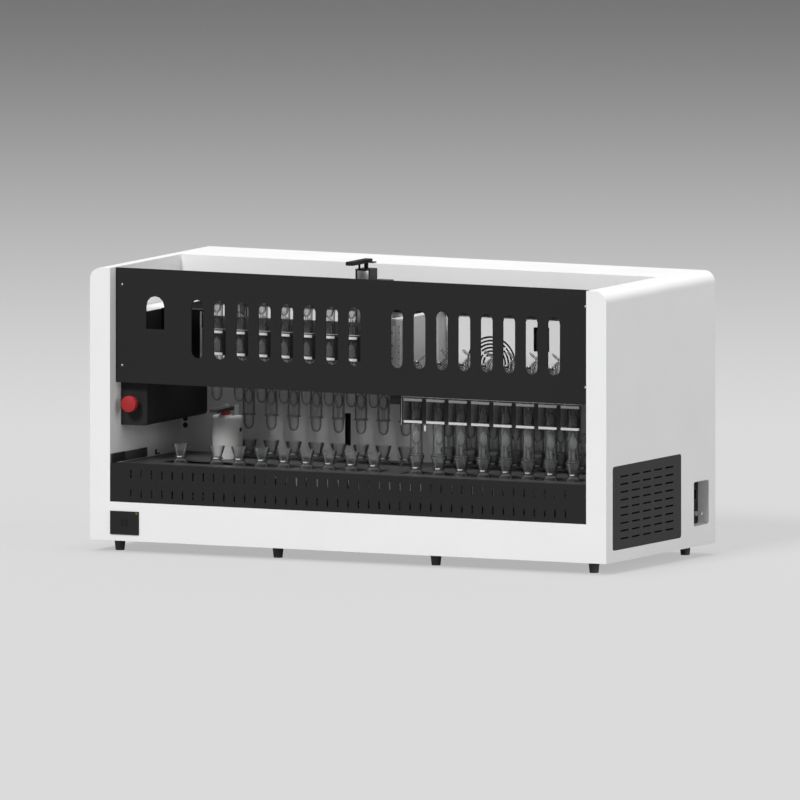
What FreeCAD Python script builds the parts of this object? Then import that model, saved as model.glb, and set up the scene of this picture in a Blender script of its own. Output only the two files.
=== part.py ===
"""Chemical oxygen demand analyzer: an open-topped bench cabinet with four rising condenser racks.

Millimetres. Cabinet coordinates run from the left end, the front face and the underside of the
cabinet. Each sub-part is placed from them, so that the part stands on Z = 0 with its middle at X = Y = 0.
"""

import FreeCAD, Part
import math
import os
import re

import Sketcher

Vector = FreeCAD.Vector

doc = FreeCAD.newDocument("oxygen_demand_analyzer")
sheet = doc.addObject("Spreadsheet::Sheet", "Sizes")

# Driving dimensions: name, value, what it measures
DIMENSIONS = [
    ("cabinet_width", 1420, "over the two side housings"),
    ("cabinet_depth", 605, "front face to back"),
    ("cabinet_height", 674, "underside to top, without the feet"),
    ("corner_radius", 30, "top outer edge of each side housing"),
    ("wall", 55, "thickness of a side housing"),
    ("sill_height", 96, "front rail"),
    ("sill_depth", 30, "front rail, front to back"),
    ("pan_thickness", 3, "base pan"),
    ("well_depth", 394, "front face to the wall of the rear compartment"),
    ("foot_height", 28, "rubber foot"),
    ("foot_top_radius", 14, "rubber foot"),
    ("foot_base_radius", 11, "rubber foot"),
    ("foot_inset", 50, "front and rear foot row from the faces"),
    ("foot_first", 58, "first foot from the left end"),
    ("foot_spacing", 434.67, "between feet along the front"),
    ("fit", 0.5, "gap at each end of a fitted panel"),
    ("panel_setback", 31.5, "upper front panel behind the front face"),
    ("panel_thickness", 3, "upper front panel"),
    ("panel_bottom", 389, "lower edge of the upper front panel"),
    ("panel_top", 673, "upper edge of the upper front panel"),
    ("pitch", 61.7, "between condensers, and between viewing slots"),
    ("places", 8, "condensers in a rack"),
    ("left_first", 279.5, "first condenser of the left bank"),
    ("right_first", 828.5, "first condenser of the right bank"),
    ("front_row", 140, "axis of the front condensers"),
    ("rear_row", 318, "axis of the rear condensers"),
    ("slot_width", 33, "viewing slot"),
    ("slot_bottom", 457, "viewing slot"),
    ("slot_top", 602, "viewing slot"),
    ("window_left", 138.5, "arched window"),
    ("window_width", 50, "arched window"),
    ("window_bottom", 524, "arched window"),
    ("window_top", 606, "arched window"),
    ("bracket_width", 24, "strip that the upper panel is screwed to"),
    ("band_top", 192, "perforated lower front panel"),
    ("band_thickness", 2, "perforated lower front panel"),
    ("band_lip", 22, "depth of its top lip"),
    ("vent_count", 43, "vent slots in each of its rows"),
    ("vent_pitch", 28.46, "between vent slots"),
    ("vent_width", 4, "vent slot"),
    ("vent_height", 20, "vent slot"),
    ("vent_low", 119.4, "centre of the lower vent row"),
    ("vent_high", 166.6, "centre of the upper vent row"),
    ("deck_bottom", 186, "work deck"),
    ("deck_top", 190, "work deck"),
    ("channel", 64, "width of the channels that the flasks stand in"),
    ("station", 180, "single flask at the left"),
    ("hotplate_top", 104, "heating plates under the flasks"),
    ("hotplate_depth", 72, "heating plates"),
    ("flask_base_radius", 29, "flask"),
    ("flask_neck_radius", 11, "flask"),
    ("flask_neck", 206, "height of the neck"),
    ("flask_rim_radius", 20, "flared mouth"),
    ("flask_rim", 232, "height of the rim"),
    ("mouth_radius", 18.5, "inside of the flared mouth"),
    ("seat_radius", 9, "inside of the mouth, at its foot"),
    ("seat", 203, "foot of the mouth"),
    ("tube_radius", 15, "condenser jacket"),
    ("tube_tip_radius", 4.5, "lower tip of the condenser"),
    ("tube_tip", 206, "height of the tip, lowered"),
    ("tube_shoulder", 224, "where the cup meets the jacket, lowered"),
    ("tube_top", 458, "top of the jacket, lowered"),
    ("tube_crown", 468, "top of the crown, lowered"),
    ("crown_radius", 6, "condenser crown"),
    ("lift", 145, "travel of a rack"),
    ("rear_left_lift", 60, "how far the rear left rack stands raised"),
    ("rack_front", 20, "tube axis to the front of a rack"),
    ("rack_back", 35, "tube axis to the back of a rack"),
    ("rack_side", 31.75, "end tube axis to the end of a rack"),
    ("rack_plate", 3, "back plate of a rack"),
    ("rack_low", 307, "lower edge of the back plate, lowered"),
    ("rack_high", 405, "upper edge of the back plate, lowered"),
    ("end_high", 416, "upper edge of the end plates, lowered"),
    ("end_plate", 4, "thickness of the end plates"),
    ("divider", 11.7, "thickness of the dividers between tubes"),
    ("bar_low", 313.5, "lower clamp bars, lowered"),
    ("bar_high", 367.5, "upper clamp bars, lowered"),
    ("bar_height", 6, "clamp bars"),
    ("bar_depth", 4.5, "clamp bars"),
    ("shelf_gap", 15.6, "tube axis to the shelf behind it"),
    ("column_left", 756, "centre lift column"),
    ("column_width", 28, "centre lift column"),
    ("column_front", 142, "centre lift column"),
    ("column_bottom", 356, "centre lift column"),
    ("column_top", 566, "lift columns"),
    ("post_width", 26, "outer lift columns"),
    ("post_depth", 28, "outer lift columns"),
    ("post_bottom", 382, "outer lift columns"),
    ("rail_offset", 16, "tube axis to the middle of its rail"),
    ("rail_width", 9, "linear rail"),
    ("rail_height", 6.5, "linear rail"),
    ("carriage_width", 20, "linear carriage"),
    ("carriage_length", 30, "linear carriage"),
    ("carriage_bottom", 384, "linear carriage, lowered"),
    ("carriage_gap", 0.4, "carriage to rail and column"),
    ("dosing_width", 72, "dosing housing"),
    ("dosing_front", 61, "front of the dosing housing"),
    ("dosing_bottom", 281, "dosing housing"),
    ("dosing_top", 564, "dosing housing"),
    ("dosing_radius", 10, "lower edge of the dosing housing"),
    ("stop_x", 92, "emergency stop"),
    ("stop_z", 336, "emergency stop"),
    ("stop_head_radius", 20, "emergency stop head"),
    ("stop_head_length", 19, "emergency stop head"),
    ("stop_front", 26, "front of the head"),
    ("stop_neck_radius", 13, "neck of the head"),
    ("stop_stem_radius", 7, "stem"),
    ("stop_collar_radius", 15, "collar"),
    ("stop_collar", 5, "collar"),
    ("stop_travel", 5, "push of the head"),
    ("power_left", 56.5, "power panel"),
    ("power_width", 78.5, "power panel"),
    ("power_bottom", 16, "power panel"),
    ("power_height", 57.5, "power panel"),
    ("power_proud", 3, "power panel in front of the rail"),
    ("power_recess", 2, "seat of the power panel in the rail"),
    ("button_x", 96, "power button"),
    ("button_z", 46, "power button"),
    ("button_side", 16.4, "power button"),
    ("button_gap", 0.4, "around the power button"),
    ("button_depth", 4, "seat of the power button"),
    ("lamp_x", 129, "power lamp"),
    ("lamp_z", 69, "power lamp"),
    ("lamp_radius", 2.3, "power lamp"),
    ("grille_front", 36, "side grille"),
    ("grille_length", 380, "side grille"),
    ("grille_bottom", 29, "side grille"),
    ("grille_height", 208, "side grille"),
    ("grille_radius", 8, "corners of the side grille"),
    ("grille_thickness", 2, "side grille"),
    ("louvre_length", 43.6, "slot of the side grille"),
    ("louvre_height", 4, "slot of the side grille"),
    ("louvre_step", 62.2, "between slots of a row"),
    ("louvre_rise", 19.2, "between rows"),
    ("louvre_first", 80, "first slot"),
    ("louvre_low", 53.7, "lowest row"),
    ("bay_front", 486, "connection bay"),
    ("bay_length", 83, "connection bay"),
    ("bay_bottom", 50, "connection bay"),
    ("bay_height", 110, "connection bay"),
    ("bay_depth", 31.4, "connection bay"),
    ("bay_radius", 6, "corners of the connection bay"),
    ("inlet_y", 522, "mains inlet"),
    ("inlet_z", 126, "mains inlet"),
    ("port_y", 553, "hose port"),
    ("port_z", 76, "hose port"),
    ("fan_x", 909, "fan"),
    ("fan_z", 441, "fan"),
    ("fan_radius", 58, "fan mouth"),
    ("fan_depth", 30, "fan well"),
    ("beam_bottom", 585, "robot beam"),
    ("beam_height", 45, "robot beam"),
    ("beam_depth", 30, "robot beam"),
    ("robot_x", 635, "robot carriage"),
    ("robot_y", 252, "motor of the robot"),
    ("arm_bottom", 630, "robot arm"),
    ("pump_x", 251, "rinse vessel"),
    ("pump_y", 257, "rinse vessel"),
    ("pump_radius", 38, "rinse vessel"),
    ("pump_top", 295, "rinse vessel"),
    ("plunger_radius", 12, "press plunger"),
    ("plunger_offset", 12, "press plunger in front of the vessel's middle"),
    ("running_fit", 0.06, "radial play of a pin or plunger in its bore"),
    ("pivot_y", 280, "lever pin"),
    ("pivot_z", 312, "lever pin"),
]

for row, (alias, value, note) in enumerate(DIMENSIONS, start=1):
    sheet.set(f"A{row}", note)
    sheet.set(f"B{row}", str(value))
    sheet.setAlias(f"B{row}", alias)
doc.recompute()

FRONT_SIDES = 12  # facets round the front flasks and condensers, and round the feet
REAR_SIDES = 8  # facets round the rear ones, which the front ones hide
ARCH_FACETS = 6  # facets in the round end of a viewing slot
ALIASES = {alias for alias, _, _ in DIMENSIONS}
NODES = []


def sized(text):
    """An expression on the spreadsheet, from a formula in its plain names."""
    return re.sub(r"[a-z][a-z_]*", lambda m: "Sizes." + m[0] if m[0] in ALIASES else m[0], str(text))


def number(text):
    """What a formula in the spreadsheet's names comes to."""
    return float(sheet.evalExpression(sized(text)))


def bind(thing, field, text):
    """Ties a property of an object to a formula."""
    thing.setExpression(field, sized(text))


def put(thing, x="0", y="0", z="0"):
    """Places an object at a point of the cabinet."""
    bind(thing, "Placement.Base.x", f"-cabinet_width / 2 + ({x})")
    bind(thing, "Placement.Base.y", f"-(cabinet_depth - power_proud) / 2 + ({y})")
    bind(thing, "Placement.Base.z", f"foot_height + ({z})")


def node(thing, label):
    """Names a finished sub-part and lists it for export."""
    thing.Label = label
    NODES.append(thing)
    return thing


# Sketches and features


def new_body(label, x="0", y="0", z="0"):
    """An empty body at a point of the cabinet."""
    body = doc.addObject("PartDesign::Body", "Body_" + label)
    body.AllowCompound = True
    put(body, x, y, z)
    return node(body, label)


def origin(body, role):
    return next(feature for feature in body.Origin.OriginFeatures if feature.Role == role)


def new_sketch(body, plane, offset="0"):
    """A sketch on an origin plane of the body, moved along the plane's normal."""
    sketch = body.newObject("Sketcher::SketchObject", "Sketch")
    sketch.AttachmentSupport = [(origin(body, plane + "_Plane"), "")]
    sketch.MapMode = "FlatFace"
    bind(sketch, "AttachmentOffset.Base.z", offset)
    return sketch


def pin_point(sketch, geometry, point, x, y):
    """Holds a point of a sketch at two formulas."""
    for kind, text in (("DistanceX", x), ("DistanceY", y)):
        index = sketch.addConstraint(Sketcher.Constraint(kind, -1, 1, geometry, point, number(text)))
        bind(sketch, f"Constraints[{index}]", text)


def outline(sketch, points):
    """A closed outline of straight lines through points given as formulas."""
    first = sketch.GeometryCount
    count = len(points)
    places = [Vector(number(x), number(y), 0) for x, y in points]
    for i in range(count):
        sketch.addGeometry(Part.LineSegment(places[i], places[(i + 1) % count]), False)
    for i in range(count):
        sketch.addConstraint(Sketcher.Constraint("Coincident", first + i, 2, first + (i + 1) % count, 1))
    for i, (x, y) in enumerate(points):
        pin_point(sketch, first + i, 1, x, y)


def rectangle(sketch, left, low, wide, tall):
    outline(
        sketch,
        [
            (left, low),
            (f"{left} + {wide}", low),
            (f"{left} + {wide}", f"{low} + {tall}"),
            (left, f"{low} + {tall}"),
        ],
    )


def regular(sketch, radius, sides):
    """A regular polygon about the sketch's origin."""
    step = 360 / sides
    outline(
        sketch,
        [
            (f"({radius}) * cos({i * step} deg)", f"({radius}) * sin({i * step} deg)")
            for i in range(sides)
        ],
    )


def circle(sketch, x, y, radius):
    index = sketch.addGeometry(
        Part.Circle(Vector(number(x), number(y), 0), Vector(0, 0, 1), number(radius)), False
    )
    rule = sketch.addConstraint(Sketcher.Constraint("Radius", index, number(radius)))
    bind(sketch, f"Constraints[{rule}]", radius)
    pin_point(sketch, index, 3, x, y)


def arched(sketch, middle, low, high, radius, round_foot=True):
    """An upright slot with a round head, and a round or a square foot."""
    turns = [180 * i / ARCH_FACETS for i in range(ARCH_FACETS + 1)]
    points = [
        (f"{middle} + {radius} * cos({turn} deg)", f"{high} - {radius} + {radius} * sin({turn} deg)")
        for turn in turns
    ]
    if round_foot:
        points += [
            (f"{middle} - {radius} * cos({turn} deg)", f"{low} + {radius} - {radius} * sin({turn} deg)")
            for turn in turns
        ]
    else:
        points += [(f"{middle} - {radius}", low), (f"{middle} + {radius}", low)]
    outline(sketch, points)


def feature(body, kind, sketch, length, backward=False):
    """A pad or pocket of a sketch."""
    made = body.newObject("PartDesign::" + kind, kind)
    made.Profile = sketch
    bind(made, "Length", length)
    made.Reversed = backward
    made.Refine = True
    body.Tip = made
    return made


def revolve(body, points):
    """A solid turned about the body's upright axis, from radii and heights."""
    sketch = new_sketch(body, "XZ")
    outline(sketch, points)
    made = body.newObject("PartDesign::Revolution", "Revolution")
    made.Profile = sketch
    made.ReferenceAxis = (sketch, ["V_Axis"])
    made.Angle = 360
    body.Tip = made
    return made


def repeat(body, made, axis, step, count):
    """A row of one feature, or of several together, along an axis of the body."""
    row_of = body.newObject("PartDesign::LinearPattern", "LinearPattern")
    row_of.Originals = made if isinstance(made, list) else [made]
    row_of.Direction = (origin(body, axis + "_Axis"), [""])
    row_of.Mode = "Spacing"
    bind(row_of, "Offset", step)
    bind(row_of, "Occurrences", count)
    body.Tip = row_of
    return row_of


def round_off(body, radius, picked):
    """Fillets those edges of the body's last feature that the rule picks."""
    doc.recompute()
    base = body.Tip
    names = [f"Edge{i + 1}" for i, edge in enumerate(base.Shape.Edges) if picked(edge.BoundBox)]
    made = body.newObject("PartDesign::Fillet", "Fillet")
    made.Base = (base, names)
    bind(made, "Radius", radius)
    body.Tip = made
    return made


def near(value, text):
    return abs(value - number(text)) < 0.01


def plain_block(x, y, z, length, width, height):
    """A box at a point of the cabinet."""
    box = doc.addObject("Part::Box", "Box")
    bind(box, "Length", length)
    bind(box, "Width", width)
    bind(box, "Height", height)
    put(box, x, y, z)
    return box


def drum(x, y, z, radius, height, along="z"):
    """A cylinder from a point of the cabinet along an axis."""
    made = doc.addObject("Part::Cylinder", "Cylinder")
    bind(made, "Radius", radius)
    bind(made, "Height", height)
    turns = {
        "x": FreeCAD.Rotation(Vector(0, 1, 0), 90),
        "y": FreeCAD.Rotation(Vector(1, 0, 0), -90),
        "z": FreeCAD.Rotation(),
    }
    made.Placement = FreeCAD.Placement(Vector(), turns[along])
    put(made, x, y, z)
    return made


def ring_of(radius, height, sides):
    """Closed outline of a regular polygon at a height."""
    turn = 2 * math.pi / sides
    corners = [
        Vector(radius * math.cos(i * turn), radius * math.sin(i * turn), height) for i in range(sides)
    ]
    return Part.makePolygon(corners + corners[:1])


def faceted(profile, sides):
    """A turned form with flat facets: a profile of radii and heights from axis to axis.

    A loft or a taper would give each facet a spline face, and many times the triangles.
    """
    rings = [(number(radius), number(height)) for radius, height in profile]
    wires = [ring_of(radius, height, sides) for radius, height in rings]
    faces = [Part.Face(wires[0]), Part.Face(wires[-1])]
    for (_, low), (_, high), below, above in zip(rings, rings[1:], wires, wires[1:]):
        if abs(low - high) < 1e-6:
            faces.append(Part.Face([below, above]))
            continue
        for lower, upper in zip(below.Edges, above.Edges):
            a, b = (vertex.Point for vertex in lower.Vertexes)
            c, d = (vertex.Point for vertex in upper.Vertexes)
            faces.append(Part.Face(Part.makePolygon([a, b, d, c, a])))
    solid = Part.Solid(Part.Shell(faces))
    solid.fix(1e-6, 1e-6, 1e-6)
    if solid.Volume < 0:
        solid.reverse()
    return solid


def faceted_row(label, profile, sides, points, x="0", y="0", z="0"):
    """Copies of a faceted form at points of one node."""
    solid = faceted(profile, sides)
    row = doc.addObject("Part::Feature", "Row_" + label)
    row.Shape = Part.makeCompound(
        [solid.translated(Vector(number(px), number(py), 0)) for px, py in points]
    )
    put(row, x, y, z)
    return node(row, label)


def along_bank():
    """Where the eight places of a bank lie from its first."""
    return [(f"{i} * pitch", "0") for i in range(int(number("places")))]


def gathered(label, pieces):
    """Separate solids kept as one sub-part."""
    group = doc.addObject("Part::Compound", "Group_" + label)
    group.Links = pieces
    return node(group, label)


def joined(label, pieces):
    """Pieces fused to one solid."""
    fused = doc.addObject("Part::MultiFuse", "Fused_" + label)
    fused.Shapes = pieces
    fused.Refine = True
    return node(fused, label)


def cut(base, tool):
    made = doc.addObject("Part::Cut", "Cut")
    made.Base = base
    made.Tool = tool
    return made


# Cabinet


def side_housing(label, x, outer):
    """A side housing, with its top outer edge rounded from front to back."""
    body = new_body(label, x)
    sketch = new_sketch(body, "XZ")
    rectangle(sketch, "0", "0", "wall", "cabinet_height")
    feature(body, "Pad", sketch, "cabinet_depth", backward=True)
    round_off(
        body,
        "corner_radius",
        lambda box: near(box.ZMin, "cabinet_height") and near(box.XMin, outer) and near(box.XMax, outer),
    )
    return body


def right_side_housing():
    """The right housing holds the side grille and the connection bay."""
    body = side_housing("right_side_housing", "cabinet_width - wall", "wall")
    seat = new_sketch(body, "YZ", "wall")
    rectangle(seat, "grille_front", "grille_bottom", "grille_length", "grille_height")
    feature(body, "Pocket", seat, "grille_thickness")
    corners = lambda box: (
        near(box.XMin, "wall - grille_thickness")
        and near(box.XMax, "wall")
        and (near(box.YMin, "grille_front") or near(box.YMin, "grille_front + grille_length"))
    )
    round_off(body, "grille_radius", corners)
    duct = new_sketch(body, "YZ", "wall")
    rectangle(duct, "grille_front + 14", "grille_bottom + 14", "grille_length - 28", "grille_height - 28")
    feature(body, "Pocket", duct, "wall / 2")
    bay = new_sketch(body, "YZ", "wall")
    rectangle(bay, "bay_front", "bay_bottom", "bay_length", "bay_height")
    feature(body, "Pocket", bay, "bay_depth")
    bay_corners = lambda box: (
        near(box.XMin, "wall - bay_depth")
        and near(box.XMax, "wall")
        and (near(box.YMin, "bay_front") or near(box.YMin, "bay_front + bay_length"))
    )
    round_off(body, "bay_radius", bay_corners)


def front_rail():
    body = new_body("front_rail", "wall")
    sketch = new_sketch(body, "XZ")
    rectangle(sketch, "0", "0", "cabinet_width - 2 * wall", "sill_height")
    feature(body, "Pad", sketch, "sill_depth", backward=True)
    seat = new_sketch(body, "XZ")
    rectangle(seat, "power_left - wall", "power_bottom", "power_width", "power_height")
    feature(body, "Pocket", seat, "power_recess", backward=False)


def base_pan():
    body = new_body("base_pan", "wall", "sill_depth")
    sketch = new_sketch(body, "XY")
    rectangle(sketch, "0", "0", "cabinet_width - 2 * wall", "well_depth - sill_depth")
    feature(body, "Pad", sketch, "pan_thickness")


def rear_housing():
    """The closed rear compartment, with the fan well, two wall openings and two hose holes."""
    body = new_body("rear_housing", "wall", "well_depth")
    sketch = new_sketch(body, "XZ")
    rectangle(sketch, "0", "0", "cabinet_width - 2 * wall", "cabinet_height")
    feature(body, "Pad", sketch, "cabinet_depth - well_depth", backward=True)
    well = new_sketch(body, "XZ")
    circle(well, "fan_x - wall", "fan_z", "fan_radius")
    feature(body, "Pocket", well, "fan_depth")
    motor = new_sketch(body, "XZ", "-fan_depth")
    circle(motor, "fan_x - wall", "fan_z", "14")
    feature(body, "Pad", motor, "fan_depth - 22.5")
    shaft = new_sketch(body, "XZ", "-22.5")
    circle(shaft, "fan_x - wall", "fan_z", "3")
    feature(body, "Pad", shaft, "9.5")
    openings = new_sketch(body, "XZ")
    rectangle(openings, "1025 - wall", "475", "43", "60")
    rectangle(openings, "506 - wall", "220", "16", "80")
    feature(body, "Pocket", openings, "12")


def feet():
    """Two rows of four tapered rubber feet."""
    points = [
        (f"foot_first + {i} * foot_spacing", y)
        for y in ("foot_inset", "cabinet_depth - foot_inset")
        for i in range(4)
    ]
    profile = [("foot_base_radius", "0"), ("foot_top_radius", "foot_height")]
    faceted_row("feet", profile, FRONT_SIDES, points, z="-foot_height")


# Front panels


def upper_front_panel():
    """The deep panel with two rows of eight viewing slots and one arched window."""
    body = new_body("upper_front_panel", "wall + fit", "panel_setback")
    sketch = new_sketch(body, "XZ")
    rectangle(
        sketch, "0", "panel_bottom", "cabinet_width - 2 * wall - 2 * fit", "panel_top - panel_bottom"
    )
    feature(body, "Pad", sketch, "panel_thickness", backward=True)
    for first in ("left_first", "right_first"):
        slot = new_sketch(body, "XZ")
        arched(slot, f"{first} - wall - fit", "slot_bottom", "slot_top", "slot_width / 2")
        opening = feature(body, "Pocket", slot, "panel_thickness")
        repeat(body, opening, "X", "pitch", "places")
    window = new_sketch(body, "XZ")
    middle = "window_left + window_width / 2 - wall - fit"
    arched(window, middle, "window_bottom", "window_top", "window_width / 2", round_foot=False)
    feature(body, "Pocket", window, "panel_thickness")


def panel_brackets():
    height = "panel_top - panel_bottom"
    behind = "panel_setback + panel_thickness"
    left = plain_block("wall", behind, "panel_bottom", "bracket_width", "2", height)
    right = plain_block(
        "cabinet_width - wall - bracket_width", behind, "panel_bottom", "bracket_width", "2", height
    )
    gathered("panel_brackets", [left, right])


def lower_front_panel():
    """The perforated band: a bent sheet whose top lip runs back over the deck."""
    body = new_body("lower_front_panel", "wall + fit")
    sketch = new_sketch(body, "YZ")
    outline(
        sketch,
        [
            ("0", "sill_height"),
            ("band_thickness", "sill_height"),
            ("band_thickness", "band_top - band_thickness"),
            ("band_lip", "band_top - band_thickness"),
            ("band_lip", "band_top"),
            ("0", "band_top"),
        ],
    )
    feature(body, "Pad", sketch, "cabinet_width - 2 * wall - 2 * fit")
    vents = new_sketch(body, "XZ")
    first = "cabinet_width / 2 - wall - fit - (vent_count - 1) / 2 * vent_pitch - vent_width / 2"
    for row_height in ("vent_low", "vent_high"):
        rectangle(vents, first, f"{row_height} - vent_height / 2", "vent_width", "vent_height")
    pair = feature(body, "Pocket", vents, "band_thickness")
    repeat(body, pair, "X", "vent_pitch", "vent_count")


# Deck, heating plates and flasks


def banks():
    """Name, first tube, row and standing height of each rack."""
    return [
        ("front_left", "left_first", "front_row", "lift"),
        ("front_right", "right_first", "front_row", "0"),
        ("rear_left", "left_first", "rear_row", "rear_left_lift"),
        ("rear_right", "right_first", "rear_row", "0"),
    ]


def bank_left(first, row_y):
    """Left end of a bank's channel: the front left one also holds the single flask."""
    if (first, row_y) == ("left_first", "front_row"):
        return "station - flask_base_radius - 5"
    return f"{first} - rack_side"


def deck_plate():
    """The work deck, with one channel for each row of flasks."""
    body = new_body("deck_plate", z="deck_bottom")
    sketch = new_sketch(body, "XY")
    rectangle(sketch, "wall", "band_thickness", "cabinet_width - 2 * wall", "well_depth - band_thickness")
    feature(body, "Pad", sketch, "deck_top - deck_bottom - band_thickness")
    channels = new_sketch(body, "XY", "deck_top - deck_bottom")
    for _, first, row_y, _ in banks():
        left = bank_left(first, row_y)
        end = f"{first} + (places - 1) * pitch + rack_side"
        rectangle(channels, left, f"{row_y} - channel / 2", f"({end}) - ({left})", "channel")
    feature(body, "Pocket", channels, "deck_top - deck_bottom")


def heating_plates():
    blocks = []
    for _, first, row_y, _ in banks():
        left = bank_left(first, row_y)
        end = f"{first} + (places - 1) * pitch + rack_side"
        blocks.append(
            plain_block(
                left,
                f"{row_y} - hotplate_depth / 2",
                "pan_thickness",
                f"({end}) - ({left})",
                "hotplate_depth",
                "hotplate_top - pan_thickness",
            )
        )
    gathered("heating_plates", blocks)


FLASK = [
    ("flask_base_radius", "hotplate_top"),
    ("flask_neck_radius", "flask_neck"),
    ("flask_rim_radius", "flask_rim"),
    ("mouth_radius", "flask_rim"),
    ("seat_radius", "seat"),
]  # conical body, neck, and a flared mouth with its own floor


def sides_of(row_y):
    return FRONT_SIDES if row_y == "front_row" else REAR_SIDES


def flasks(label, first, row_y):
    faceted_row(label, FLASK, sides_of(row_y), along_bank(), first, row_y)


def single_flask():
    faceted_row("station_flask", FLASK, FRONT_SIDES, [("0", "0")], "station", "front_row")


# Condenser racks


def condensers(name, first, row_y, raised):
    """Eight closed glass condensers with a cup-shaped lower end."""
    profile = [
        ("tube_tip_radius", "tube_tip"),
        ("tube_radius", "tube_shoulder"),
        ("tube_radius", "tube_top"),
    ]
    if row_y == "front_row":
        profile.append(("crown_radius", "tube_crown"))
    label = name + "_condensers"
    faceted_row(label, profile, sides_of(row_y), along_bank(), first, row_y, raised)


def rack_frame(name, first, row_y, raised):
    """The black comb that parts the tubes: back plate, end plates, shelves and dividers."""
    body = new_body(name + "_rack_frame", first, row_y, raised)
    span = "(places - 1) * pitch + 2 * rack_side"
    back = new_sketch(body, "XY", "rack_low")
    rectangle(back, "-rack_side", "rack_back - rack_plate", span, "rack_plate")
    feature(body, "Pad", back, "rack_high - rack_low")
    ends = new_sketch(body, "XY", "rack_low")
    rectangle(ends, "-rack_side", "-rack_front", "end_plate", "rack_front + rack_back")
    rectangle(
        ends,
        "(places - 1) * pitch + rack_side - end_plate",
        "-rack_front",
        "end_plate",
        "rack_front + rack_back",
    )
    feature(body, "Pad", ends, "end_high - rack_low")
    for level in ("bar_low", "bar_high"):
        shelf = new_sketch(body, "XY", level)
        rectangle(shelf, "-rack_side", "shelf_gap", span, "rack_back - shelf_gap")
        feature(body, "Pad", shelf, "bar_height")
    divider = new_sketch(body, "XY", "bar_low")
    rectangle(divider, "pitch / 2 - divider / 2", "-rack_front", "divider", "rack_front + rack_back")
    wall_between = feature(body, "Pad", divider, "bar_high + bar_height - bar_low")
    repeat(body, wall_between, "X", "pitch", "places - 1")


def rack_bars(name, first, row_y, raised):
    """Clamp bars across the front of the tubes, between the dividers."""
    body = new_body(name + "_rack_bars", first, row_y, raised)
    sketch = new_sketch(body, "XZ", "rack_front")
    for level in ("bar_low", "bar_high"):
        rectangle(sketch, "-(pitch - divider) / 2", level, "pitch - divider", "bar_height")
    bars = feature(body, "Pad", sketch, "bar_depth", backward=True)
    repeat(body, bars, "X", "pitch", "places")


def rail_profile(first, side):
    """Where a rail, its column face and the rack's end lie along X, on one side of a bank."""
    end_of_rack = f"{first} + (places - 1) * pitch + rack_side" if side > 0 else f"{first} - rack_side"
    if first == "left_first":
        face = "column_left" if side > 0 else "left_first - rack_side - 10"
    else:
        face = "right_first + (places - 1) * pitch + rack_side + 10" if side > 0 else (
            "column_left + column_width"
        )
    return end_of_rack, face


def rack_carriages(name, first, row_y, raised):
    """Two linear carriages, one on each end plate, that straddle the rails."""
    half = "carriage_width / 2"
    groove = "rail_width / 2 + carriage_gap"
    body = new_body(name + "_rack_carriages", y=f"{row_y} + rail_offset", z=f"carriage_bottom + ({raised})")
    sketch = new_sketch(body, "XY")
    for side in (-1, 1):
        end_of_rack, face = rail_profile(first, side)
        sign = "+" if side < 0 else "-"
        near_face = f"{face} {sign} carriage_gap"
        floor = f"{face} {sign} (rail_height + carriage_gap)"
        outline(
            sketch,
            [
                (end_of_rack, f"-{half}"),
                (end_of_rack, half),
                (near_face, half),
                (near_face, groove),
                (floor, groove),
                (floor, f"-({groove})"),
                (near_face, f"-({groove})"),
                (near_face, f"-{half}"),
            ],
        )
    feature(body, "Pad", sketch, "carriage_length")


def lift_rails():
    """Eight linear rails on the faces of the lift columns."""
    rails = []
    for row_y in ("front_row", "rear_row"):
        for first in ("left_first", "right_first"):
            for side in (-1, 1):
                _, face = rail_profile(first, side)
                start = f"{face} - rail_height" if side > 0 else face
                rails.append(
                    plain_block(
                        start,
                        f"{row_y} + rail_offset - rail_width / 2",
                        "post_bottom",
                        "rail_height",
                        "rail_width",
                        "column_top - post_bottom - 4",
                    )
                )
    gathered("lift_rails", rails)


def lift_columns():
    """The centre column between the banks, and four posts at the outer ends."""
    centre = plain_block(
        "column_left",
        "column_front",
        "column_bottom",
        "column_width",
        "well_depth - column_front",
        "column_top - column_bottom",
    )
    tall = "column_top - post_bottom"
    left_face = "left_first - rack_side - 10"
    right_face = "right_first + (places - 1) * pitch + rack_side + 10"
    front_y = "front_row + rail_offset - post_depth / 2"
    rear_y = "rear_row + rail_offset - post_depth / 2"
    dosing_side = "wall + dosing_width"
    left_post = plain_block(
        dosing_side, front_y, "post_bottom", f"{left_face} - ({dosing_side})", "post_depth", tall
    )
    right_post = plain_block(
        right_face, front_y, "post_bottom", f"cabinet_width - wall - ({right_face})", "post_depth", tall
    )
    rear_left = plain_block(
        f"{left_face} - post_width", rear_y, "post_bottom", "post_width", f"well_depth - ({rear_y})", tall
    )
    rear_right = plain_block(
        right_face, rear_y, "post_bottom", "post_width", f"well_depth - ({rear_y})", tall
    )
    gathered("lift_columns", [centre, left_post, right_post, rear_left, rear_right])


# Dosing housing and emergency stop


def dosing_housing():
    body = new_body("dosing_housing", "wall", "dosing_front")
    sketch = new_sketch(body, "XZ")
    rectangle(sketch, "0", "dosing_bottom", "dosing_width", "dosing_top - dosing_bottom")
    feature(body, "Pad", sketch, "well_depth - dosing_front", backward=True)
    lower_edge = lambda box: (
        near(box.ZMax, "dosing_bottom") and near(box.XMin, "dosing_width") and box.YLength > 1
    )
    round_off(body, "dosing_radius", lower_edge)
    collar = new_sketch(body, "XZ")
    circle(collar, "stop_x - wall", "stop_z", "stop_collar_radius")
    feature(body, "Pad", collar, "stop_collar")
    stem_hole = new_sketch(body, "XZ", "stop_collar")
    circle(stem_hole, "stop_x - wall", "stop_z", "stop_stem_radius + fit")
    feature(body, "Pocket", stem_hole, "stop_collar + 24")


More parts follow.
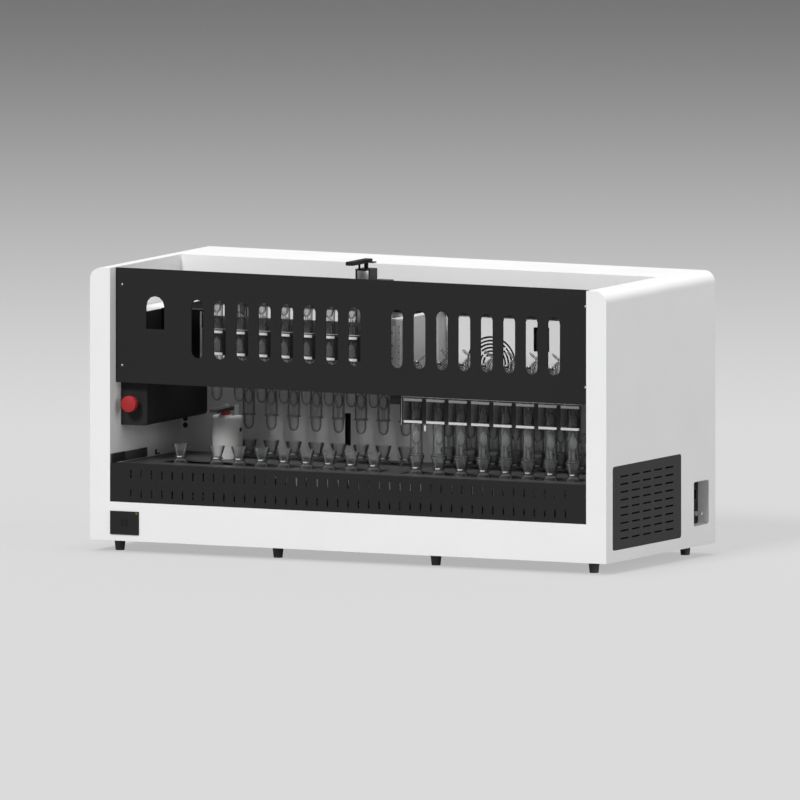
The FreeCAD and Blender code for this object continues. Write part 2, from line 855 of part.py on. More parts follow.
def turned_forward(label, points):
    """A solid turned about an axis that runs from front to back, placed on the emergency stop."""
    body = new_body(label, "stop_x", "0", "stop_z")
    sketch = new_sketch(body, "XY")
    outline(sketch, points)
    made = body.newObject("PartDesign::Revolution", "Revolution")
    made.Profile = sketch
    made.ReferenceAxis = (sketch, ["V_Axis"])
    made.Angle = 360
    body.Tip = made


def emergency_stop():
    """The sliding stem, and the mushroom head that twists on it."""
    back = "stop_front + stop_head_length"
    inside = f"{back} - 6"
    turned_forward(
        "stop_stem",
        [
            ("0", inside),
            ("stop_stem_radius", inside),
            ("stop_stem_radius", "dosing_front + 14"),
            ("0", "dosing_front + 14"),
        ],
    )
    turned_forward(
        "stop_head",
        [
            ("0", "stop_front"),
            ("stop_head_radius", "stop_front"),
            ("stop_head_radius", "stop_front + 12"),
            ("stop_neck_radius", "stop_front + 12"),
            ("stop_neck_radius", back),
            ("stop_stem_radius + running_fit", back),
            ("stop_stem_radius + running_fit", f"{inside} - 0.1"),
            ("0", f"{inside} - 0.1"),
        ],
    )


# Power panel


def power_panel():
    body = new_body("power_panel", "power_left", "-power_proud")
    sketch = new_sketch(body, "XZ")
    rectangle(sketch, "0", "power_bottom", "power_width", "power_height")
    feature(body, "Pad", sketch, "power_proud + power_recess", backward=True)
    seat = new_sketch(body, "XZ")
    half = "(button_side / 2 + button_gap)"
    rectangle(
        seat,
        f"button_x - power_left - {half}",
        f"button_z - {half}",
        f"2 * {half}",
        f"2 * {half}",
    )
    feature(body, "Pocket", seat, "button_depth")
    lens = new_sketch(body, "XZ")
    circle(lens, "lamp_x - power_left", "lamp_z", "lamp_radius")
    feature(body, "Pocket", lens, "1.5")


def power_button():
    body = new_body("power_button", "button_x", "-power_proud")
    sketch = new_sketch(body, "XZ")
    rectangle(sketch, "-button_side / 2", "button_z - button_side / 2", "button_side", "button_side")
    feature(body, "Pad", sketch, "button_depth - 1.6", backward=True)
    edges = lambda box: box.YLength < 0.01 and near(box.YMin, "0")
    round_off(body, "0.6", edges)


def power_lamp():
    node(drum("lamp_x", "-power_proud", "lamp_z", "lamp_radius", "1.5", "y"), "power_lamp")


# Right side: grille and connections


def side_grille():
    body = new_body("side_grille", "cabinet_width - grille_thickness")
    sketch = new_sketch(body, "YZ")
    rectangle(
        sketch,
        "grille_front + fit / 2",
        "grille_bottom + fit / 2",
        "grille_length - fit",
        "grille_height - fit",
    )
    feature(body, "Pad", sketch, "grille_thickness")
    round_off(body, "grille_radius", lambda box: box.XLength > 1)
    louvres = new_sketch(body, "YZ", "grille_thickness")
    for i in range(9):
        rectangle(louvres, "louvre_first", f"louvre_low + {i} * louvre_rise", "louvre_length", "louvre_height")
    column = feature(body, "Pocket", louvres, "grille_thickness")
    repeat(body, column, "Y", "louvre_step", "5")


def connections():
    """The bay's plate, the mains inlet with its three pins, and two hose ports."""
    floor = "cabinet_width - bay_depth"
    body = new_body("connection_plate", floor)
    sketch = new_sketch(body, "YZ")
    rectangle(sketch, "bay_front + 1", "bay_bottom + 1", "bay_length - 2", "bay_height - 2")
    feature(body, "Pad", sketch, "2")
    round_off(body, "bay_radius", lambda box: box.XLength > 1)
    inlet = new_body("mains_inlet", f"{floor} + 2", "inlet_y", "inlet_z")
    flange = new_sketch(inlet, "YZ")
    rectangle(flange, "-15", "-22", "30", "44")
    feature(inlet, "Pad", flange, "3")
    shroud = new_sketch(inlet, "YZ", "3")
    rectangle(shroud, "-11", "-14.5", "22", "29")
    feature(inlet, "Pad", shroud, "11")
    socket = new_sketch(inlet, "YZ", "14")
    rectangle(socket, "-9", "-12.5", "18", "25")
    feature(inlet, "Pocket", socket, "13")
    pins = new_sketch(inlet, "YZ", "1")
    for y, z in (("-5.5", "-7"), ("-5.5", "5"), ("3.5", "-1")):
        rectangle(pins, y, z, "2", "2")
    feature(inlet, "Pad", pins, "9")
    port = new_body("hose_port", f"{floor} + 2", "port_y", "port_z")
    nut = new_sketch(port, "YZ")
    regular(nut, "6.5", 6)
    feature(port, "Pad", nut, "5")
    barb = new_sketch(port, "YZ", "5")
    regular(barb, "4", 12)
    feature(port, "Pad", barb, "13")


# Fan


def fan():
    """Guard of concentric rings, and the rotor behind it."""
    body = new_body("fan_guard", "fan_x", "well_depth", "fan_z")
    for outer in ("60", "50", "40", "30"):
        ring = new_sketch(body, "XZ")
        regular(ring, outer, 18)
        regular(ring, f"{outer} - 3", 18)
        feature(body, "Pad", ring, "2")
    spokes = new_sketch(body, "XZ", "0.5")
    rectangle(spokes, "-58.5", "-1.5", "117", "3")
    feature(body, "Pad", spokes, "1")
    upright = new_sketch(body, "XZ", "0.5")
    rectangle(upright, "-1.5", "-58.5", "3", "117")
    feature(body, "Pad", upright, "1")
    rotor = new_body("fan_rotor", "fan_x", "well_depth", "fan_z")
    hub = new_sketch(rotor, "XZ", "-22")
    regular(hub, "20", 18)
    feature(rotor, "Pad", hub, "18")
    blades = new_sketch(rotor, "XZ", "-16")
    rectangle(blades, "-54", "-9", "108", "18")
    feature(rotor, "Pad", blades, "2.5")
    cross = new_sketch(rotor, "XZ", "-16")
    rectangle(cross, "-9", "-54", "18", "108")
    feature(rotor, "Pad", cross, "2.5")
    eye = new_sketch(rotor, "XZ", "-12")
    circle(eye, "0", "0", "3 + running_fit")
    feature(rotor, "Pocket", eye, "10")


# Robot


def robot():
    """Beam, carriage with its arm, motor, cable bracket and the lifting nozzle bar."""
    beam = plain_block(
        "wall + fit",
        "well_depth - beam_depth",
        "beam_bottom",
        "cabinet_width - 2 * wall - 2 * fit",
        "beam_depth",
        "beam_height",
    )
    node(beam, "robot_beam")
    half = "20"
    back = "well_depth - beam_depth - 0.5"
    slider = plain_block(
        f"robot_x - {half}", f"{back} - 18", "beam_bottom + 3", "40", "18", "arm_bottom - beam_bottom - 3"
    )
    arm = plain_block(
        f"robot_x - {half}", "robot_y - 20", "arm_bottom", "40", f"{back} - (robot_y - 20)", "10"
    )
    plate = plain_block(f"robot_x - {half}", "robot_y - 20", "arm_bottom - 135", "40", "6", "135")
    guide = plain_block("robot_x - 15", "robot_y - 40", "arm_bottom - 130", "30", "20", "35")
    bore = plain_block("robot_x - 7.3", "robot_y - 36.3", "arm_bottom - 132", "14.6", "12.6", "39")
    joined("robot_carriage", [slider, arm, plate, cut(guide, bore)])
    shell = plain_block(
        f"robot_x - {half}", "robot_y - 20", "arm_bottom + 10", "40", "41", "36"
    )
    hollow = plain_block("robot_x - 14", "robot_y - 21", "arm_bottom + 13", "28", "38", "28")
    node(cut(shell, hollow), "robot_motor_cover")
    node(
        plain_block("robot_x - 13", "robot_y - 14", "arm_bottom + 13", "26", "30", "26"), "robot_motor"
    )
    post = plain_block("robot_x - 4", "robot_y - 4", "arm_bottom + 46", "8", "8", "14")
    front_post = plain_block("robot_x - 14", "robot_y - 16", "arm_bottom + 46", "4", "4", "14")
    top = plain_block("robot_x - 14", "robot_y - 86", "arm_bottom + 60", "20", "109", "9")
    tab = plain_block("robot_x + 6", "robot_y", "arm_bottom + 60", "14", "16", "3")
    joined("robot_cable_bracket", [post, front_post, top, tab])
    bar = plain_block("robot_x - 7", "robot_y - 36", "400", "14", "12", "252")
    block = plain_block("robot_x - 15", "robot_y - 46", "384", "30", "32", "16")
    tips = [drum(f"robot_x {sign} 8", "robot_y - 30", "372", "2", "12") for sign in ("-", "+")]
    joined("nozzle_bar", [bar, block] + tips)


# Rinse vessel with its press lever


def rinse_pump():
    """Vessel, bracket with its pin, lever and the plunger that the lever presses."""
    body = new_body("rinse_vessel", "pump_x", "pump_y")
    revolve(
        body,
        [
            ("0", "deck_top - band_thickness"),
            ("pump_radius", "deck_top - band_thickness"),
            ("pump_radius", "pump_top"),
            ("0", "pump_top"),
        ],
    )
    bore = new_sketch(body, "XY", "pump_top")
    circle(bore, "0", "-plunger_offset", "plunger_radius + running_fit")
    feature(body, "Pocket", bore, "17")
    foot = plain_block("pump_x - 16", "pivot_y - 8", "pump_top", "32", "12", "3")
    left = plain_block("pump_x - 16", "pivot_y - 8", "pump_top", "4.5", "16", "24")
    right = plain_block("pump_x + 11.5", "pivot_y - 8", "pump_top", "4.5", "16", "24")
    pin = drum("pump_x - 16", "pivot_y", "pivot_z", "2", "32", "x")
    joined("lever_bracket", [foot, left, right, pin])
    arm = plain_block("pump_x - 11", "pivot_y - 101", "pivot_z - 4", "22", "109", "8")
    eye = drum("pump_x - 12", "pivot_y", "pivot_z", "2 + running_fit", "24", "x")
    node(cut(arm, eye), "press_lever")
    plunger = new_body("press_plunger", "pump_x", "pump_y - plunger_offset")
    revolve(
        plunger,
        [
            ("0", "pump_top - 11"),
            ("plunger_radius", "pump_top - 11"),
            ("plunger_radius", "pivot_z - 4.3"),
            ("0", "pivot_z - 4.3"),
        ],
    )


def build():
    side_housing("left_side_housing", "0", "0")
    right_side_housing()
    front_rail()
    base_pan()
    rear_housing()
    feet()
    upper_front_panel()
    panel_brackets()
    lower_front_panel()
    deck_plate()
    heating_plates()
    single_flask()
    lift_columns()
    lift_rails()
    for name, first, row_y, raised in banks():
        flasks(name + "_flasks", first, row_y)
        condensers(name, first, row_y, raised)
        rack_frame(name, first, row_y, raised)
        rack_bars(name, first, row_y, raised)
        rack_carriages(name, first, row_y, raised)
    dosing_housing()
    emergency_stop()
    power_panel()
    power_button()
    power_lamp()
    side_grille()
    connections()
    fan()
    robot()
    rinse_pump()
    doc.recompute()


def check_and_export():
    """Stops on a failed feature, then writes one file for each sub-part."""
    for thing in doc.Objects:
        if "Invalid" in thing.State or "Error" in thing.State:
            raise RuntimeError(f"{thing.Label} failed: {thing.State}")
    os.makedirs("parts", exist_ok=True)
    for thing in NODES:
        shape = thing.Shape
        if shape.isNull() or not shape.isValid():
            raise RuntimeError(f"{thing.Label} has no valid shape")
        shape.exportStep(f"parts/{thing.Label}.step")
        box = shape.BoundBox
        print(
            f"{thing.Label:28s} {len(shape.Solids):3d} solids "
            f"{box.XMin:8.1f} {box.YMin:8.1f} {box.ZMin:8.1f} {box.XMax:8.1f} {box.YMax:8.1f} {box.ZMax:8.1f}"
        )


build()
check_and_export()
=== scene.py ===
"""Looks of the chemical oxygen demand analyzer.

The CAD frame is loaded first. Each sub-assembly then gets its finishes, and the glassware, the
small hardware and the dark sheets of painted shade in its openings are modelled on it. Sizes are in
millimetres of the cabinet, counted from its left end, its front face and its underside.
"""

import logging
import math
from dataclasses import dataclass, field
from enum import Enum
from typing import Callable, Iterable, Sequence

import bpy
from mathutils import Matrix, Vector


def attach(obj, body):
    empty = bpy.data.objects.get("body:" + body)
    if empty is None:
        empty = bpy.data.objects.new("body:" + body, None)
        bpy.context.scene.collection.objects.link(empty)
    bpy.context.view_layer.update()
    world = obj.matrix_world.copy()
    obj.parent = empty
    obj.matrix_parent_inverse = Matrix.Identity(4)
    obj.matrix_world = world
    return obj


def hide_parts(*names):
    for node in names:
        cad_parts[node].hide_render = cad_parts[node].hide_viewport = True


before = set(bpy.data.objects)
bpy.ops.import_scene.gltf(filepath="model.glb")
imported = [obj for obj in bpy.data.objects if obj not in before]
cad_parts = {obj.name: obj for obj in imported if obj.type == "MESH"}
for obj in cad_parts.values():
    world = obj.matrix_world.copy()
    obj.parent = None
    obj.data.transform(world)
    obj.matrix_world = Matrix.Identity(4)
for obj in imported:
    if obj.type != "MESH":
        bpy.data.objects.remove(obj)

LOG = logging.getLogger("analyzer")

CABINET_LEFT = -710.0
CABINET_FRONT = -301.0
FOOT_HEIGHT = 28.0
PITCH = 61.7
PLACES = 8
FRONT_ROW = 140.0
REAR_ROW = 318.0
LEFT_FIRST = 279.5
RIGHT_FIRST = 828.5

Point = tuple[float, float, float]
Colour = tuple[float, float, float]


def place(x: float, y: float, z: float) -> Point:
    """Metres in the row frame of a point given in cabinet millimetres."""
    return (
        (CABINET_LEFT + x) / 1000,
        (CABINET_FRONT + y) / 1000,
        (FOOT_HEIGHT + z) / 1000,
    )


class Body(str, Enum):
    """The rigid bodies that pieces ride on."""

    CABINET = "cabinet"
    FRONT_LEFT = "front_left_rack"
    FRONT_RIGHT = "front_right_rack"
    REAR_LEFT = "rear_left_rack"
    REAR_RIGHT = "rear_right_rack"
    STOP = "stop_mushroom"
    SWITCH = "power_switch"
    ROBOT = "robot"
    NOZZLES = "nozzles"
    PLUNGER = "plunger"
    ROTOR = "rotor"


class Bank(Enum):
    """A rack's first tube, row, standing height and body."""

    FRONT_LEFT = ("front_left", LEFT_FIRST, FRONT_ROW, 145.0, Body.FRONT_LEFT)
    FRONT_RIGHT = ("front_right", RIGHT_FIRST, FRONT_ROW, 0.0, Body.FRONT_RIGHT)
    REAR_LEFT = ("rear_left", LEFT_FIRST, REAR_ROW, 60.0, Body.REAR_LEFT)
    REAR_RIGHT = ("rear_right", RIGHT_FIRST, REAR_ROW, 0.0, Body.REAR_RIGHT)

    @property
    def label(self) -> str:
        """Name of the bank in the CAD nodes."""
        return self.value[0]

    @property
    def first(self) -> float:
        """Place of the bank's first tube along the front."""
        return self.value[1]

    @property
    def row(self) -> float:
        """Depth of the bank's tubes."""
        return self.value[2]

    @property
    def raised(self) -> float:
        """How far the rack stands above its lowest place."""
        return self.value[3]

    @property
    def body(self) -> Body:
        """The body that the rack rides on."""
        return self.value[4]


# Shader maths


class Value:
    """A number socket that takes part in Python expressions."""

    def __init__(self, tree: bpy.types.NodeTree, socket: bpy.types.NodeSocket) -> None:
        """Keeps the tree and the socket."""
        self.tree = tree
        self.socket = socket

    def _math(self, operation: str, *others: "Value | float", swapped: bool = False) -> "Value":
        """Adds a Math node.

        Args:
            operation: Name of the operation.
            others: The other operands.
            swapped: True where this value is the second operand.

        Returns:
            The node's result.
        """
        node = self.tree.nodes.new("ShaderNodeMath")
        node.operation = operation
        operands: list["Value | float"] = [self, *others]
        if swapped:
            operands.reverse()
        for socket, operand in zip(node.inputs, operands):
            if isinstance(operand, Value):
                self.tree.links.new(operand.socket, socket)
            else:
                socket.default_value = operand
        return Value(self.tree, node.outputs[0])

    def __add__(self, other: "Value | float") -> "Value":
        """Sum."""
        return self._math("ADD", other)

    __radd__ = __add__

    def __sub__(self, other: "Value | float") -> "Value":
        """Difference."""
        return self._math("SUBTRACT", other)

    def __rsub__(self, other: float) -> "Value":
        """Difference from a number."""
        return self._math("SUBTRACT", other, swapped=True)

    def __mul__(self, other: "Value | float") -> "Value":
        """Product."""
        return self._math("MULTIPLY", other)

    __rmul__ = __mul__

    def __truediv__(self, other: "Value | float") -> "Value":
        """Quotient."""
        return self._math("DIVIDE", other)

    def __pow__(self, other: float) -> "Value":
        """Power."""
        return self._math("POWER", other)

    def above(self, limit: float) -> "Value":
        """1 where the value is above a limit."""
        return self._math("GREATER_THAN", limit)

    def below(self, limit: float) -> "Value":
        """1 where the value is below a limit."""
        return self._math("LESS_THAN", limit)

    def near(self, goal: float, width: float) -> "Value":
        """1 where the value is within a width of a goal."""
        return self._math("COMPARE", goal, width)

    def clamped(self) -> "Value":
        """The value held between 0 and 1."""
        result = self._math("ADD", 0.0)
        result.socket.node.use_clamp = True
        return result


class Shader:
    """One material with its Principled surface."""

    def __init__(self, name: str) -> None:
        """Starts an empty node tree.

        Args:
            name: Name of the material.
        """
        self.material = bpy.data.materials.new(name)
        self.material.use_nodes = True
        self.tree = self.material.node_tree
        self.tree.nodes.clear()
        self.output = self.tree.nodes.new("ShaderNodeOutputMaterial")
        self.surface = self.tree.nodes.new("ShaderNodeBsdfPrincipled")
        self.tree.links.new(self.surface.outputs[0], self.output.inputs["Surface"])
        self.coordinates = self.tree.nodes.new("ShaderNodeTexCoord")

    def node(self, kind: str, settings: dict[str, object], **inputs: object) -> bpy.types.Node:
        """Adds a node.

        Args:
            kind: Type of the node.
            settings: Properties that are set first.
            inputs: Values or links of its sockets, with underscores for spaces.

        Returns:
            The node.
        """
        made = self.tree.nodes.new(kind)
        for key, value in settings.items():
            setattr(made, key, value)
        for key, value in inputs.items():
            socket = made.inputs[key.replace("_", " ")]
            self.feed(socket, value)
        return made

    def feed(self, socket: bpy.types.NodeSocket, value: object) -> None:
        """Links a value or socket to an input, or sets a number there."""
        if isinstance(value, Value):
            self.tree.links.new(value.socket, socket)
        elif isinstance(value, bpy.types.NodeSocket):
            self.tree.links.new(value, socket)
        else:
            socket.default_value = value

    def set(self, **inputs: object) -> "Shader":
        """Sets or links sockets of the surface, with underscores for spaces."""
        for key, value in inputs.items():
            self.feed(self.surface.inputs[key.replace("_", " ")], value)
        return self

    def stretched(self, scale: Point) -> bpy.types.NodeSocket:
        """Object coordinates stretched along the axes."""
        mapping = self.node("ShaderNodeMapping", {}, Vector=self.coordinates.outputs["Object"])
        mapping.inputs["Scale"].default_value = scale
        return mapping.outputs["Vector"]

    def noise(self, scale: float, detail: float = 2.0, stretch: Point = (1, 1, 1)) -> Value:
        """Noise on the object's own coordinates.

        Args:
            scale: Cells to the metre.
            detail: Octaves.
            stretch: Factors along the three axes.

        Returns:
            The noise, around one half.
        """
        made = self.node("ShaderNodeTexNoise", {}, Vector=self.stretched(stretch), Scale=scale, Detail=detail)
        return Value(self.tree, made.outputs["Fac"])

    def along(self, axis: int) -> Value:
        """One of the object's own coordinates, in metres."""
        split = self.node("ShaderNodeSeparateXYZ", {}, Vector=self.coordinates.outputs["Object"])
        return Value(self.tree, split.outputs[axis])

    def facing(self, axis: int) -> Value:
        """One part of the surface's direction in the object's own axes."""
        split = self.node("ShaderNodeSeparateXYZ", {}, Vector=self.coordinates.outputs["Normal"])
        return Value(self.tree, split.outputs[axis])

    def mix(
        self,
        factor: "Value | float",
        first: "Colour | bpy.types.NodeSocket",
        second: "Colour | bpy.types.NodeSocket",
    ) -> bpy.types.NodeSocket:
        """Colour between two colours or colour sockets."""
        made = self.node("ShaderNodeMix", {"data_type": "RGBA"})
        self.feed(made.inputs[0], factor)
        for socket, colour in ((made.inputs[6], first), (made.inputs[7], second)):
            self.feed(socket, colour if isinstance(colour, bpy.types.NodeSocket) else (*colour, 1.0))
        return made.outputs[2]

    def bump(self, height: Value, depth: float, strength: float = 1.0) -> "Shader":
        """Raises the surface by a height of some depth, in metres."""
        made = self.node(
            "ShaderNodeBump", {}, Height=height, Distance=depth, Strength=strength
        )
        self.feed(self.surface.inputs["Normal"], made.outputs["Normal"])
        return self


def shade(colour: Colour, factor: float) -> Colour:
    """A colour made lighter or darker."""
    return tuple(min(1.0, part * factor) for part in colour)


# Finishes


@dataclass(frozen=True)
class PowderCoat:
    """Paint with a fine orange-peel texture and a faint mottling."""

    name: str
    colour: Colour
    roughness: float = 0.42
    peel: float = 0.00006
    gloss: float = 0.4

    def make(self) -> bpy.types.Material:
        """Builds the material."""
        shader = Shader(self.name)
        mottle = shader.noise(7.0, 3.0)
        fine = shader.noise(650.0, 2.0)
        tone = shader.mix(mottle, shade(self.colour, 0.97), shade(self.colour, 1.03))
        shader.set(
            Base_Color=tone,
            Roughness=self.roughness + (mottle - 0.5) * 0.12 + (fine - 0.5) * 0.1,
            Specular_IOR_Level=self.gloss,
        )
        shader.bump(fine, self.peel, 0.5)
        return shader.material


@dataclass(frozen=True)
class Moulding:
    """Moulded plastic with a fine spark texture."""

    name: str
    colour: Colour
    roughness: float = 0.5
    coat: float = 0.0
    grain: float = 900.0
    gloss: float = 0.5

    def make(self) -> bpy.types.Material:
        """Builds the material."""
        shader = Shader(self.name)
        cloud = shader.noise(30.0, 3.0)
        grain = shader.noise(self.grain, 3.0)
        tone = shader.mix(cloud, shade(self.colour, 0.93), shade(self.colour, 1.07))
        shader.set(
            Base_Color=tone,
            Roughness=self.roughness + (grain - 0.5) * 0.2,
            Coat_Weight=self.coat,
            Specular_IOR_Level=self.gloss,
        )
        shader.bump(grain, 0.00004, 0.4)
        return shader.material


@dataclass(frozen=True)
class BrushedMetal:
    """Metal with fine lines along one axis."""

    name: str
    colour: Colour
    roughness: float = 0.32
    stretch: Point = (1.0, 1.0, 0.04)

    def make(self) -> bpy.types.Material:
        """Builds the material."""
        shader = Shader(self.name)
        lines = shader.noise(1400.0, 2.0, self.stretch)
        cloud = shader.noise(25.0, 3.0)
        tone = shader.mix(lines, shade(self.colour, 0.86), shade(self.colour, 1.08))
        shader.set(
            Base_Color=tone,
            Metallic=0.9,
            Roughness=self.roughness + (lines - 0.5) * 0.2 + (cloud - 0.5) * 0.15,
        )
        shader.bump(lines, 0.00003, 0.5)
        return shader.material


@dataclass(frozen=True)
class Glass:
    """Thin laboratory glass: clear where it faces the eye, dark towards its outline, with painted highlight streaks
    and a painted glint.
    """

    name: str
    colour: Colour
    rim: Colour
    facing: float = 0.10
    outline: float = 1.0
    sharpness: float = 1.7
    roughness: float = 0.08
    streak: float = 0.5
    weight: float = 1.7
    gloss: float = 0.22
    streaks_from: float = 0.222
    glint: float = 0.0

    def make(self) -> bpy.types.Material:
        """Builds the material."""
        shader = Shader(self.name)
        weight = shader.node("ShaderNodeLayerWeight", {}, Blend=0.5)
        edge = (Value(shader.tree, weight.outputs["Facing"]) ** self.sharpness * self.weight).clamped()
        wave = shader.noise(60.0, 2.0, (1.0, 1.0, 0.35))
        across, ahead = shader.facing(0), shader.facing(1)
        # Painted highlights: bands of the surface picked by its normal, left and right on each form, are lightened
        # and made less clear, broken up by noise and kept above a height; the glint is a painted highlight on front
        # faces.
        left = across.near(-0.22, 0.05) * ahead.below(0.0)
        right = ahead.near(-0.30, 0.06) * across.above(0.0)
        broken = (shader.noise(38.0, 2.0, (1.0, 1.0, 0.6)) * 4.0 - 1.3).clamped()
        in_the_open = shader.along(2).above(self.streaks_from)
        glint = across.near(0.2, 0.32) * ahead.below(-0.6) * self.glint
        streak = ((left + right * 0.6) * broken * self.streak * in_the_open + glint).clamped()
        body = shader.mix(edge, self.colour, self.rim)
        clear = edge * (self.outline - self.facing) + self.facing
        shader.set(
            Base_Color=shader.mix(streak, body, (0.9, 0.9, 0.9)),
            Roughness=self.roughness + (wave - 0.5) * 0.04,
            Alpha=(clear + streak * 0.75).clamped(),
            IOR=1.5,
            Specular_IOR_Level=self.gloss,
        )
        shader.bump(wave, 0.0002, 0.25)
        return shader.material


@dataclass(frozen=True)
class RackPaint:
    """Black anodised fronts, with side faces and back plates painted lighter grey as painted light, and a brushed
    texture on the side faces.
    """

    name: str
    front: Colour
    side: Colour
    back: Colour
    plates: Sequence[float]

    def make(self) -> bpy.types.Material:
        """Builds the material."""
        shader = Shader(self.name)
        grain = shader.noise(900.0, 2.0)
        brushed = shader.noise(160.0, 3.0, (1.0, 0.2, 1.0))
        # Painted light: the side faces get a lighter grey than the black fronts, standing for the light that falls on
        # them; the brushed noise is their texture.
        painted_lit_flank = shader.mix(brushed, shade(self.side, 0.7), shade(self.side, 1.3))
        ahead = shader.along(1)
        # Painted light: the back plates, found by their depth and their forward faces, get a lighter grey than the
        # fronts.
        plate = (ahead.near(self.plates[0], 0.003) + ahead.near(self.plates[1], 0.003)).clamped()
        face = shader.mix(plate * shader.facing(1).below(-0.5), self.front, self.back)
        tone = shader.mix(shader.facing(0).above(0.5), face, painted_lit_flank)
        shader.set(Base_Color=tone, Roughness=0.4 + (grain - 0.5) * 0.2, Specular_IOR_Level=0.3)
        shader.bump(grain, 0.00003, 0.4)
        return shader.material


@dataclass(frozen=True)
class ColumnPaint:
    """Sheet-metal columns: black at the left end of the machine, light grey elsewhere."""

    name: str
    light: Colour
    dark: Colour
    border: float = -0.30

    def make(self) -> bpy.types.Material:
        """Builds the material."""
        shader = Shader(self.name)
        mottle = shader.noise(9.0, 3.0)
        fine = shader.noise(650.0, 2.0)
        light = shader.mix(mottle, shade(self.light, 0.95), shade(self.light, 1.05))
        dark = shader.mix(mottle, shade(self.dark, 0.9), shade(self.dark, 1.1))
        tone = shader.mix(shader.along(0).below(self.border), light, dark)
        shader.set(Base_Color=tone, Roughness=0.45 + (fine - 0.5) * 0.1, Specular_IOR_Level=0.35)
        shader.bump(fine, 0.00005, 0.4)
        return shader.material


@dataclass(frozen=True)
class Rubber:
    """Dull rubber with a dusty bloom near the floor."""

    name: str
    colour: Colour

    def make(self) -> bpy.types.Material:
        """Builds the material."""
        shader = Shader(self.name)
        grain = shader.noise(500.0, 3.0)
        dust = (1.0 - shader.along(2) / 0.02).clamped() * shader.noise(120.0, 4.0)
        tone = shader.mix(dust * 0.5, self.colour, shade(self.colour, 3.0))
        shader.set(Base_Color=tone, Roughness=0.75 + (grain - 0.5) * 0.2)
        shader.bump(grain, 0.0001, 0.5)
        return shader.material


@dataclass(frozen=True)
class CastIron:
    """Dark heating plate with a sandy grain and heat marks."""

    name: str
    colour: Colour

    def make(self) -> bpy.types.Material:
        """Builds the material."""
        shader = Shader(self.name)
        marks = shader.noise(14.0, 4.0)
        grain = shader.noise(800.0, 4.0)
        tone = shader.mix(marks, shade(self.colour, 0.7), shade(self.colour, 1.5))
        shader.set(Base_Color=tone, Metallic=0.4, Roughness=0.62 + (grain - 0.5) * 0.3)
        shader.bump(grain, 0.0001, 0.6)
        return shader.material


@dataclass(frozen=True)
class Lamp:
    """Lit lens of a small lamp, with a fine mottle in its tone."""

    name: str
    colour: Colour
    strength: float

    def make(self) -> bpy.types.Material:
        """Builds the material."""
        shader = Shader(self.name)
        cells = shader.noise(1500.0, 1.0)
        tone = shader.mix(cells, shade(self.colour, 0.8), shade(self.colour, 1.2))
        shader.set(Base_Color=tone, Roughness=0.2, Emission_Color=tone, Emission_Strength=self.strength)
        return shader.material


class Palette:
    """The finishes of the machine, each built once."""

    def __init__(self) -> None:
        """Builds every finish."""
        self.white = PowderCoat("white_powder_coat", (0.795, 0.795, 0.80)).make()
        self.panel = PowderCoat("charcoal_powder_coat", (0.0165, 0.0165, 0.017), 0.55, gloss=0.15).make()
        self.dosing = PowderCoat("black_powder_coat", (0.016, 0.016, 0.0165), 0.5, gloss=0.2).make()
        self.grille = PowderCoat("grille_powder_coat", (0.036, 0.036, 0.037), 0.5, gloss=0.2).make()
        self.deck = PowderCoat("grey_deck_paint", (0.05, 0.05, 0.05), 0.4, gloss=0.3).make()
        self.column = ColumnPaint("column_paint", (0.62, 0.62, 0.625), (0.004, 0.004, 0.004)).make()
        self.fitting = PowderCoat("light_grey_paint", (0.60, 0.60, 0.605), 0.45).make()
        self.iron = CastIron("heating_plate_iron", (0.05, 0.05, 0.05)).make()
        self.steel = BrushedMetal("brushed_steel", (0.55, 0.55, 0.56)).make()
        # Dark steel of the lever, also used as painted shade on the inlet contacts.
        self.dull = BrushedMetal("blackened_steel_and_painted_shade", (0.09, 0.09, 0.095), 0.45).make()
        self.screw = BrushedMetal("screw_steel", (0.42, 0.42, 0.43), 0.35).make()
        self.motor = BrushedMetal("motor_aluminium", (0.62, 0.63, 0.65), 0.4).make()
        self.glass = Glass(
            "clear_glass", (0.26, 0.265, 0.27), (0.01, 0.01, 0.01), 0.08, streak=0.25, gloss=0.1
        ).make()
        self.jacket = Glass(
            "jacket_glass", (0.20, 0.204, 0.208), (0.012, 0.012, 0.012), 0.09, streak=0.3, gloss=0.15
        ).make()
        self.inner_glass = Glass(
            "inner_glass", (0.42, 0.43, 0.44), (0.004, 0.004, 0.004), 0.20, 1.0, 1.8, streak=0.3, weight=2.4
        ).make()
        self.ground = Glass(
            "ground_glass", (0.30, 0.31, 0.32), (0.015, 0.015, 0.015), 0.35, 1.0, 1.3, 0.3, streak=0.25
        ).make()
        # The joint rings carry a painted highlight: a painted glint on their fronts.
        self.joint = Glass(
            "joint_glass", (0.16, 0.164, 0.168), (0.01, 0.01, 0.01), 0.22, roughness=0.07, streak=0.0, gloss=0.9, glint=0.75
        ).make()
        self.acrylic = PowderCoat("satin_acrylic", (0.76, 0.77, 0.775), 0.25).make()
        # The rack frame carries painted light: lighter side faces and back plates.
        self.comb = RackPaint(
            "rack_paint_with_painted_light", (0.02, 0.02, 0.0205), (0.30, 0.30, 0.305), (0.27, 0.27, 0.275), (-0.129, 0.049)
        ).make()
        self.black = Moulding("black_moulding", (0.012, 0.012, 0.0125), 0.45).make()
        self.grommet = Moulding("grommet_rubber", (0.03, 0.03, 0.03), 0.7).make()
        # Near-black finish of real black parts, also used for the dark sheets and discs of painted shade in openings
        # and holes.
        self.dark = Moulding("black_and_painted_shade", (0.004, 0.004, 0.004), 0.8).make()
        self.red = Moulding("red_moulding", (0.33, 0.007, 0.010), 0.5, 0.0).make()
        self.vessel = Moulding("white_moulding", (0.53, 0.53, 0.525), 0.4, 0.1).make()
        self.button = Moulding("dark_button", (0.0135, 0.0135, 0.014), 0.55, gloss=0.15).make()
        self.label = Moulding("label_white", (0.78, 0.78, 0.77), 0.6).make()
        self.rubber = Rubber("foot_rubber", (0.06, 0.06, 0.06)).make()
        self.lamp = Lamp("green_lens", (0.07, 0.22, 0.006), 0.25).make()


# Modelling


